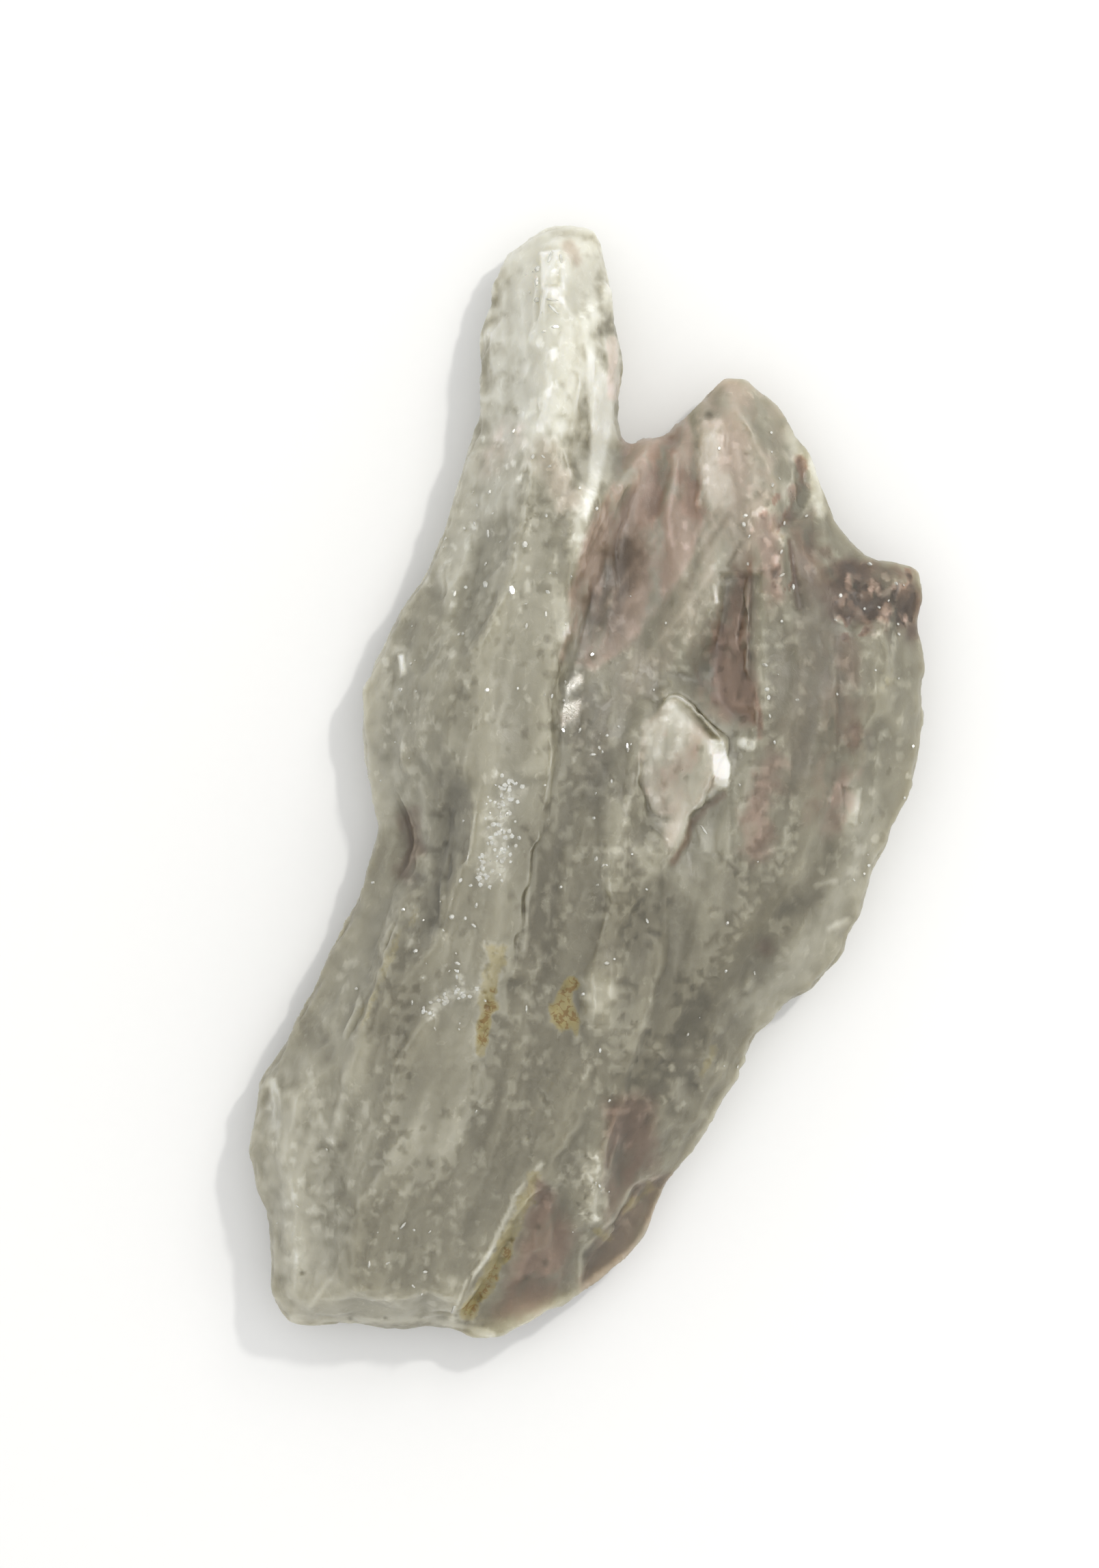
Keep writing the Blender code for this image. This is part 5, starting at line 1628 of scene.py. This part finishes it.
    def front_height(self, x: Field, y: Field) -> Field:
        """Add up the relief of the front.

        Args:
            x: Places along X.
            y: Places along Y.

        Returns:
            The height to add to each point.
        """
        across, along = self.growth.places(x, y)
        wander = self.ragged.layered(*WANDER.of(x, y), 2)
        bent = across + self.bend * self.noise.at(*BEND.of(across, along))
        calm = np.zeros(x.shape)
        for mark in ZONES + BODY_MARKS:
            if Trait.CALM in mark.looks:
                calm = np.maximum(calm, mark.looks[Trait.CALM] * mark.cover(x, y, wander))
        height = self.swell * self.noise.at(*SWELL.of(bent, along))
        height += self.striae * self.noise.at(*STRIAE.of(bent, along))
        height += self.fine_striae * self.striae * self.noise.at(*FINE_STRIAE.of(bent, along))
        broken = smooth(0.5 + self.broken_contrast * self.noise.at(*BROKEN.of(x, y)))
        share = self.whole_flakes + (1.0 - self.whole_flakes) * broken
        height += self.flakes[0].height(bent, along) * share
        height += self.flakes[1].height(bent + self.flake_starts[1], along) * broken
        height += self.pebbles * self.noise.layered(*PEBBLES.of(x, y), 2)
        height *= 1.0 - self.calming * calm
        for ledge in FRONT_LEDGES:
            height -= self.ledge_share * ledge.depth(x, y, wander)
        for mark in BODY_MARKS:
            if mark.height:
                height += self.mark_share * mark.height * mark.cover(x, y, wander)
        pits = smooth(self.pit_contrast * self.noise.layered(*STAIN_PITS.of(x, y), 2) - self.pit_from)
        for mark in IRON_MARKS:
            height -= self.pits * mark.cover(x, y, wander) * pits
        bed = 0.5 + self.noise.at(*DRUSE_BED.of(x, y))
        for mark in DRUSE_MARKS:
            height += self.druse_bed * mark.cover(x, y, wander) * bed
        return height

    def flattened(self, points: Field, facet: Facet, facing: Field) -> Field:
        """Lay the points inside a facet's outline towards its plane.

        Args:
            points: The stone's points in millimetres.
            facet: The facet.
            facing: How much each point belongs to the front.

        Returns:
            The moved points.
        """
        x, y = points[:, 0], points[:, 1]
        cover = facet.cover(x, y) * facing
        if not cover.any():
            return points
        middle_x = np.average(x, weights=cover)
        middle_y = np.average(y, weights=cover)
        middle_z = np.average(points[:, 2], weights=cover)
        plane = middle_z + facet.tilt[0] * (x - middle_x) + facet.tilt[1] * (y - middle_y)
        moved = points.copy()
        moved[:, 2] += facet.flatness * cover * (plane - points[:, 2])
        return moved

    def thinned(self, mesh: bpy.types.Mesh) -> bpy.types.Mesh:
        """Merge the least needed faces, first on the back, until the stone has its number of triangles.

        Args:
            mesh: The stone's dense mesh.

        Returns:
            The thinner mesh.
        """
        item = new_piece("dense", mesh)
        lying = np.flatnonzero(self.normals(mesh)[:, 2] < self.back_from)
        backs = item.vertex_groups.new(name="back")
        backs.add(lying.tolist(), 1.0, "REPLACE")
        total = 2.0 * len(mesh.polygons)
        spare = 2.0 * len(lying) * (1.0 - self.back_share)
        first = item.modifiers.new("fewer faces behind", "DECIMATE")
        first.vertex_group = backs.name
        first.ratio = 1.0 - spare / total
        second = item.modifiers.new("fewer faces", "DECIMATE")
        second.ratio = min(1.0, self.triangles / (total - spare))
        thin = plain_mesh(item)
        points = self.points(thin)
        points[:, 2] = np.maximum(points[:, 2], 0.0)
        self.place(thin, points)
        thin.shade_smooth()
        return thin

    def paint(self, mesh: bpy.types.Mesh) -> None:
        """Write the growth lines and every trait to the mesh as attributes.

        Args:
            mesh: The stone's mesh.
        """
        points = self.points(mesh)
        normals = self.normals(mesh)
        x, y, z = points.T
        across, along = self.growth.places(x, y)
        growth = mesh.attributes.new("growth", "FLOAT_VECTOR", "POINT")
        growth.data.foreach_set("vector", np.column_stack((across, along, z)).astype(np.float32).ravel())
        front = smooth((normals[:, 2] - self.painted_band[0]) / self.painted_band[1])
        wander = self.ragged.layered(*WANDER.of(x, y), 3)
        traits = {trait: np.zeros(len(x)) for trait in Trait if trait is not Trait.SHIFT}
        traits[Trait.TONE] += PLAIN_TONE
        for mark in ZONES + BODY_MARKS + IRON_MARKS + DRUSE_MARKS:
            self.apply(traits, mark.looks, mark.cover(x, y, wander), front)
        for facet in FRONT_FACETS:
            self.apply(traits, facet.looks, facet.cover(x, y), front)
        # The painted sheen, glint and light, painted last
        for mark in PAINTED_SHEEN_MARKS:
            self.apply(traits, mark.looks, mark.cover(x, y, wander), front)
        traits[Trait.GLOSS] += self.side_gloss * (1.0 - front) * (1.0 - traits[Trait.GLOSS])
        # Painted light on raised edges and painted shade in hollows
        traits[Trait.TONE] += self.painted_edge_light(mesh, points, normals)
        # Thin rims are painted lighter: a painted glow for light passing through the thin quartz
        thin = smooth((self.painted_glow_thickness - self.thickness(points)) / self.painted_glow_fade)
        traits[Trait.TONE] += self.painted_rim_glow * thin
        for trait, values in traits.items():
            made = mesh.attributes.new(trait.value, "FLOAT", "POINT")
            made.data.foreach_set("value", values.astype(np.float32))

    def apply(self, traits: dict[Trait, Field], looks: Mapping[Trait, float], cover: Field,
              front: Field) -> None:
        """Paint looks over the traits: the broad tones go through to the back, the rest stay in front.

        Args:
            traits: The traits' values at each point, which are changed.
            looks: The looks.
            cover: How much of them lies on each point.
            front: How much each point belongs to the front.
        """
        for trait, value in looks.items():
            if trait is Trait.SHIFT:
                traits[Trait.TONE] += cover * front * value
                continue
            kept = cover if trait in (Trait.TONE, Trait.MAUVE, Trait.CLEAR) else cover * front
            traits[trait] += kept * (value - traits[trait])

    def painted_edge_light(self, mesh: bpy.types.Mesh, points: Field, normals: Field) -> Field:
        """Paint light on raised edges and shade in hollows, standing in for the light inside the quartz.

        Args:
            mesh: The stone's mesh.
            points: Its points in millimetres.
            normals: Their normals.

        Returns:
            The tone to add to each point.
        """
        edges = self.edges(mesh)
        total = np.zeros(len(points))
        smoothed = points
        for rounds, gain in self.edge_rounds:
            smoothed = self.relaxed(smoothed, edges, rounds)
            raised = np.einsum("ij,ij->i", points - smoothed, normals)
            total += np.clip(gain * raised, *self.painted_edge_light_range)
        return np.clip(total, *self.painted_edge_light_limits)

    def dress(self, stone: bpy.types.Object, finish: CloudyQuartz) -> None:
        """Give the stone its finish and its place in the frame.

        Args:
            stone: The stone.
            finish: Its finish.
        """
        stone.data.materials.clear()
        stone.data.materials.append(finish.build())
        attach(stone, BODY)
        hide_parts(NODE)


@dataclass
class DruseCrystals:
    """Small quartz points that stand on the stone where its druse attribute says."""

    per_square_mm: float = 7.0
    radius: float = 0.20
    height: float = 0.09
    sunk: float = 0.32
    lean: float = 0.5
    sizes: tuple[float, float] = (0.45, 1.25)
    seed: int = 6
    least: float = 0.3

    def build(self, stone: bpy.types.Object, finish: DruseQuartz) -> bpy.types.Object:
        """Scatter the crystals and turn them into a plain mesh.

        Args:
            stone: The stone that they stand on.
            finish: Their finish.

        Returns:
            The crystals as one piece.
        """
        ground = self.ground(stone)
        material = finish.build()
        tree, sockets = self.tree(material)
        scatter = ground.modifiers.new("druse", "NODES")
        scatter.node_group = tree
        values = {
            "Density": self.per_square_mm / MM**2,
            "Radius": self.radius * MM,
            "Height": self.height * MM,
            "Lean": self.lean,
        }
        for name, value in values.items():
            scatter[sockets[name]] = value
        return new_piece("druse_crystals", plain_mesh(ground))

    def ground(self, stone: bpy.types.Object) -> bpy.types.Object:
        """Copy the stone's faces that carry druse.

        Args:
            stone: The stone.

        Returns:
            The copy.
        """
        work = bmesh.new()
        work.from_mesh(stone.data)
        layer = work.verts.layers.float[Trait.DRUSE.value]
        bare = [face for face in work.faces if max(vert[layer] for vert in face.verts) < self.least]
        bmesh.ops.delete(work, geom=bare, context="FACES")
        mesh = bpy.data.meshes.new("druse_ground")
        work.to_mesh(mesh)
        work.free()
        return new_piece("druse_ground", mesh)

    def tree(self, material: bpy.types.Material) -> tuple[bpy.types.NodeTree, dict[str, str]]:
        """Build the tree that stands crystals on faces.

        Args:
            material: The crystals' material.

        Returns:
            The tree, and the identifier of each named input.
        """
        sizes = ("Density", "Radius", "Height", "Lean")
        tree, sockets = geometry_tree("druse", "Ground", sizes, "Crystals")
        bench = Bench(tree)
        given = bench.node("NodeGroupInput").outputs
        druse = bench.node("GeometryNodeInputNamedAttribute", {"data_type": "FLOAT"},
                           {"Name": Trait.DRUSE.value}).outputs[0]
        density = bench.reckon("MULTIPLY", given["Density"], druse)
        points = bench.node("GeometryNodeDistributePointsOnFaces", {"distribute_method": "RANDOM"},
                            {"Mesh": given["Ground"], "Density": density, "Seed": self.seed}).outputs
        point = bench.node("GeometryNodeMeshCone", {"fill_type": "NGON"},
                           {"Vertices": CRYSTAL_SIDES, "Side Segments": 1, "Fill Segments": 1,
                            "Radius Top": 0.0, "Radius Bottom": given["Radius"],
                            "Depth": given["Height"]}).outputs["Mesh"]
        drop = bench.reckon("MULTIPLY", given["Height"], -self.sunk)
        sunk = bench.node("ShaderNodeCombineXYZ", {}, {2: drop})
        point = bench.node("GeometryNodeTransform", {},
                           {"Geometry": point, "Translation": sunk.outputs[0]}).outputs[0]
        back = bench.reckon("MULTIPLY", given["Lean"], -1.0)
        low = bench.node("ShaderNodeCombineXYZ", {}, {0: back, 1: back, 2: 0.0})
        high = bench.node("ShaderNodeCombineXYZ", {}, {0: given["Lean"], 1: given["Lean"], 2: math.tau})
        turn = bench.node("FunctionNodeRandomValue", {"data_type": "FLOAT_VECTOR"},
                          {0: low.outputs[0], 1: high.outputs[0], "Seed": self.seed + 1}).outputs[0]
        turn = bench.node("FunctionNodeEulerToRotation", {}, {0: turn}).outputs[0]
        turned = bench.node("FunctionNodeRotateRotation", {"rotation_space": "LOCAL"},
                            {0: points["Rotation"], 1: turn}).outputs[0]
        size = bench.node("FunctionNodeRandomValue", {"data_type": "FLOAT"},
                          {2: self.sizes[0], 3: self.sizes[1], "Seed": self.seed + 2}).outputs[1]
        standing = bench.node("GeometryNodeInstanceOnPoints", {},
                              {"Points": points["Points"], "Instance": point, "Rotation": turned,
                               "Scale": size}).outputs[0]
        bench.finish(standing, material)
        return tree, sockets

    def dress(self, crystals: bpy.types.Object) -> None:
        """Give the crystals their place in the frame."""
        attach(crystals, BODY)


@dataclass
class SparkFacets:
    """Tiny flat crystal faces that catch the light: those of GLINTS, and fine ones strewn in swarms.

    A swarm is the place of its middle, how far it spreads, and how many faces it has.
    """

    swarms: tuple[tuple[float, float, float, int], ...] = (
        (-7.0, 18.5, 3.5, 16), (-4.0, 12.0, 3.0, 9), (-9.5, 9.0, 3.0, 7), (-12.8, 4.5, 2.0, 6),
        (-1.4, 5.0, 2.0, 7), (1.2, 2.0, 1.6, 6), (12.4, 17.5, 2.0, 7), (12.6, 6.0, 1.2, 4),
        (20.2, 12.0, 2.0, 10), (-9.2, -9.0, 2.2, 7), (-9.4, -14.8, 1.8, 9), (1.6, -4.0, 1.4, 5),
        (-13.0, -31.0, 3.5, 7), (-3.6, 33.0, 1.6, 6), (20.0, -5.0, 2.4, 4), (7.0, -20.0, 2.4, 4),
        (0.4, -28.0, 1.0, 4), (-19.0, -29.0, 3.0, 4), (-6.0, -3.0, 2.0, 7), (0.0, 0.0, 20.0, 35),
    )
    swarm_width: float = 0.7
    widths: tuple[float, float] = (0.05, 0.13)
    stretches: tuple[float, float] = (0.8, 2.2)
    leans: tuple[float, float] = (-60.0, 60.0)
    lit_tilt: tuple[float, float] = (0.226, 0.212)
    loose: float = 0.07
    wild: float = 0.30
    thickness: float = 0.22
    top_share: float = 0.8
    foot_share: float = 1.1
    sunk: float = 0.4
    size_share: float = 0.8
    level_from: float = 0.5
    drop_height: float = 0.05
    seed: int = 12

    def build(self, stone: bpy.types.Object, finish: DruseQuartz) -> bpy.types.Object:
        """Set a facet on the stone at every spot.

        Args:
            stone: The stone that carries them.
            finish: Their finish.

        Returns:
            The facets as one piece.
        """
        spots, sizes, turns = self.spots(stone)
        mesh = bpy.data.meshes.new("spark_spots")
        mesh.from_pydata((spots * MM).tolist(), [], [])
        for name, values in (("size", sizes * MM), ("turn", turns)):
            made = mesh.attributes.new(name, "FLOAT_VECTOR", "POINT")
            made.data.foreach_set("vector", values.astype(np.float32).ravel())
        holder = new_piece("spark_spots", mesh)
        holder.modifiers.new("facets", "NODES").node_group = self.tree(finish.build())
        return new_piece("spark_facets", plain_mesh(holder))

    def spots(self, stone: bpy.types.Object) -> tuple[Field, Field, Field]:
        """Choose the facets' places, sizes and turns.

        Args:
            stone: The stone that carries them.

        Returns:
            The places in millimetres, the half sizes in millimetres, and the Euler turns.
        """
        chance = np.random.default_rng(self.seed)
        ground = BVHTree.FromObject(stone, bpy.context.evaluated_depsgraph_get())
        wanted = [(*glint, self.loose) for glint in GLINTS]
        for middle_x, middle_y, spread, count in self.swarms:
            for _ in range(count):
                x, y = chance.normal(middle_x, spread * self.swarm_width), chance.normal(middle_y, spread)
                width, stretch = chance.uniform(*self.widths), chance.uniform(*self.stretches)
                wanted.append((x, y, width, width * stretch, chance.uniform(*self.leans), self.wild))
        places, sizes, turns = [], [], []
        for x, y, width, length, lean, looseness in wanted:
            tilt_x, tilt_y = np.array(self.lit_tilt) + chance.normal(0.0, looseness, 2)
            hit, normal, _, _ = ground.ray_cast(Vector((x * MM, y * MM, self.drop_height)), -UP)
            if hit is None or normal.z < self.level_from:
                continue
            facing = Vector((tilt_x, tilt_y, 1.0)).normalized()
            turn = UP.rotation_difference(facing) @ Quaternion(UP, -math.radians(lean))
            places.append((x, y, hit.z / MM - self.sunk * self.thickness))
            sizes.append((self.size_share * width, self.size_share * length, self.thickness))
            turns.append(turn.to_euler())
        return np.array(places), np.array(sizes), np.array(turns)

    def tree(self, material: bpy.types.Material) -> bpy.types.NodeTree:
        """Build the tree that sets a low six-sided prism on every spot.

        Args:
            material: The facets' material.

        Returns:
            The tree.
        """
        tree, _ = geometry_tree("facets", "Spots", (), "Facets")
        bench = Bench(tree)
        spots = bench.node("NodeGroupInput").outputs["Spots"]
        prism = bench.node("GeometryNodeMeshCone", {"fill_type": "NGON"},
                           {"Vertices": CRYSTAL_SIDES, "Side Segments": 1, "Fill Segments": 1,
                            "Radius Top": self.top_share, "Radius Bottom": self.foot_share,
                            "Depth": 1.0}).outputs["Mesh"]
        size, turn = (
            bench.node("GeometryNodeInputNamedAttribute", {"data_type": "FLOAT_VECTOR"}, {"Name": name})
            for name in ("size", "turn")
        )
        rotation = bench.node("FunctionNodeEulerToRotation", {}, {0: turn.outputs[0]}).outputs[0]
        placed = bench.node("GeometryNodeInstanceOnPoints", {},
                            {"Points": spots, "Instance": prism, "Rotation": rotation,
                             "Scale": size.outputs[0]}).outputs[0]
        bench.finish(placed, material)
        return tree

    def dress(self, facets: bpy.types.Object) -> None:
        """Give the facets their place in the frame."""
        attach(facets, BODY)


@dataclass
class Studio:
    """The pale floor, the soft lights and the camera that looks straight down on the stone."""

    floor_half: float = 1.5
    camera_height: float = 0.42
    sharp_plane: float = 5.0
    sensor: float = 36.0
    dome: float = 0.97
    near: float = 0.01

    def build(self) -> None:
        """Build the floor, the lights and the camera."""
        self.floor()
        self.world()
        self.light("key", at=(0.24, 0.26, 0.34), size=0.14, power=0.25, colour=(1.0, 0.985, 0.95))
        self.light("spark", at=(0.17, 0.16, 0.32), size=0.022, power=0.40, colour=(1.0, 0.98, 0.94))
        self.camera()

    def floor(self) -> None:
        """Lay the floor."""
        half = self.floor_half
        corners = [(-half, -half, 0.0), (half, -half, 0.0), (half, half, 0.0), (-half, half, 0.0)]
        mesh = bpy.data.meshes.new("floor")
        mesh.from_pydata(corners, [], [(0, 1, 2, 3)])
        floor = new_piece("floor", mesh)
        mesh.materials.append(PaleCard().build())

    def world(self) -> None:
        """Light the scene from all round with a plain pale dome."""
        world = bpy.data.worlds.new("dome")
        bpy.context.scene.world = world
        world.use_nodes = True
        world.node_tree.nodes.clear()
        bench = Bench(world.node_tree)
        glow = bench.node("ShaderNodeBackground", {}, {"Color": (1.0, 1.0, 1.0, 1.0), "Strength": self.dome})
        bench.node("ShaderNodeOutputWorld", {}, {"Surface": glow.outputs[0]})

    def light(self, name: str, at: Triple, size: float, power: float, colour: Colour) -> None:
        """Hang a soft square light that faces the stone.

        Args:
            name: The light's name.
            at: Its place in metres.
            size: Its side in metres.
            power: Its power in watts.
            colour: Its colour.
        """
        lamp = bpy.data.lights.new(name, "AREA")
        lamp.size = size
        lamp.energy = power
        lamp.color = colour
        item = bpy.data.objects.new(name, lamp)
        bpy.context.scene.collection.objects.link(item)
        item.location = at
        reach = math.hypot(at[0], at[1])
        item.rotation_euler = (0.0, math.atan2(reach, at[2]), math.atan2(at[1], at[0]))

    def camera(self) -> None:
        """Hang the camera above the stone, so that the frame covers the right length of the floor."""
        lens_data = bpy.data.cameras.new("camera")
        camera = bpy.data.objects.new("camera", lens_data)
        bpy.context.scene.collection.objects.link(camera)
        camera.location = (PICTURE_MIDDLE[0] * MM, PICTURE_MIDDLE[1] * MM, self.camera_height)
        covered = max(PICTURE_WIDTH, PICTURE_HEIGHT) / PIXELS_PER_MM * MM
        lens_data.sensor_width = self.sensor
        lens_data.lens = self.sensor * (self.camera_height - self.sharp_plane * MM) / covered
        lens_data.clip_start = self.near
        bpy.context.scene.camera = camera


def main() -> None:
    """Build the stone, its druse and its studio in order."""
    logging.basicConfig(level=logging.INFO, format="%(name)s: %(message)s")
    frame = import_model()
    bpy.context.scene.view_settings.view_transform = "Standard"

    stone_body = StoneBody()
    stone = stone_body.build(frame["nodes"][NODE])
    stone_body.dress(stone, CloudyQuartz())
    LOG.info("%s: %d faces", stone.name, len(stone.data.polygons))

    druse = DruseCrystals()
    crystals = druse.build(stone, DruseQuartz())
    druse.dress(crystals)
    LOG.info("%s: %d faces", crystals.name, len(crystals.data.polygons))

    sparks = SparkFacets()
    facets = sparks.build(stone, DruseQuartz(name="spark_quartz", roughness=0.12))
    sparks.dress(facets)
    LOG.info("%s: %d faces", facets.name, len(facets.data.polygons))

    Studio().build()
    LOG.info("studio: floor, lights and camera")


if __name__ == "__main__":
    main()
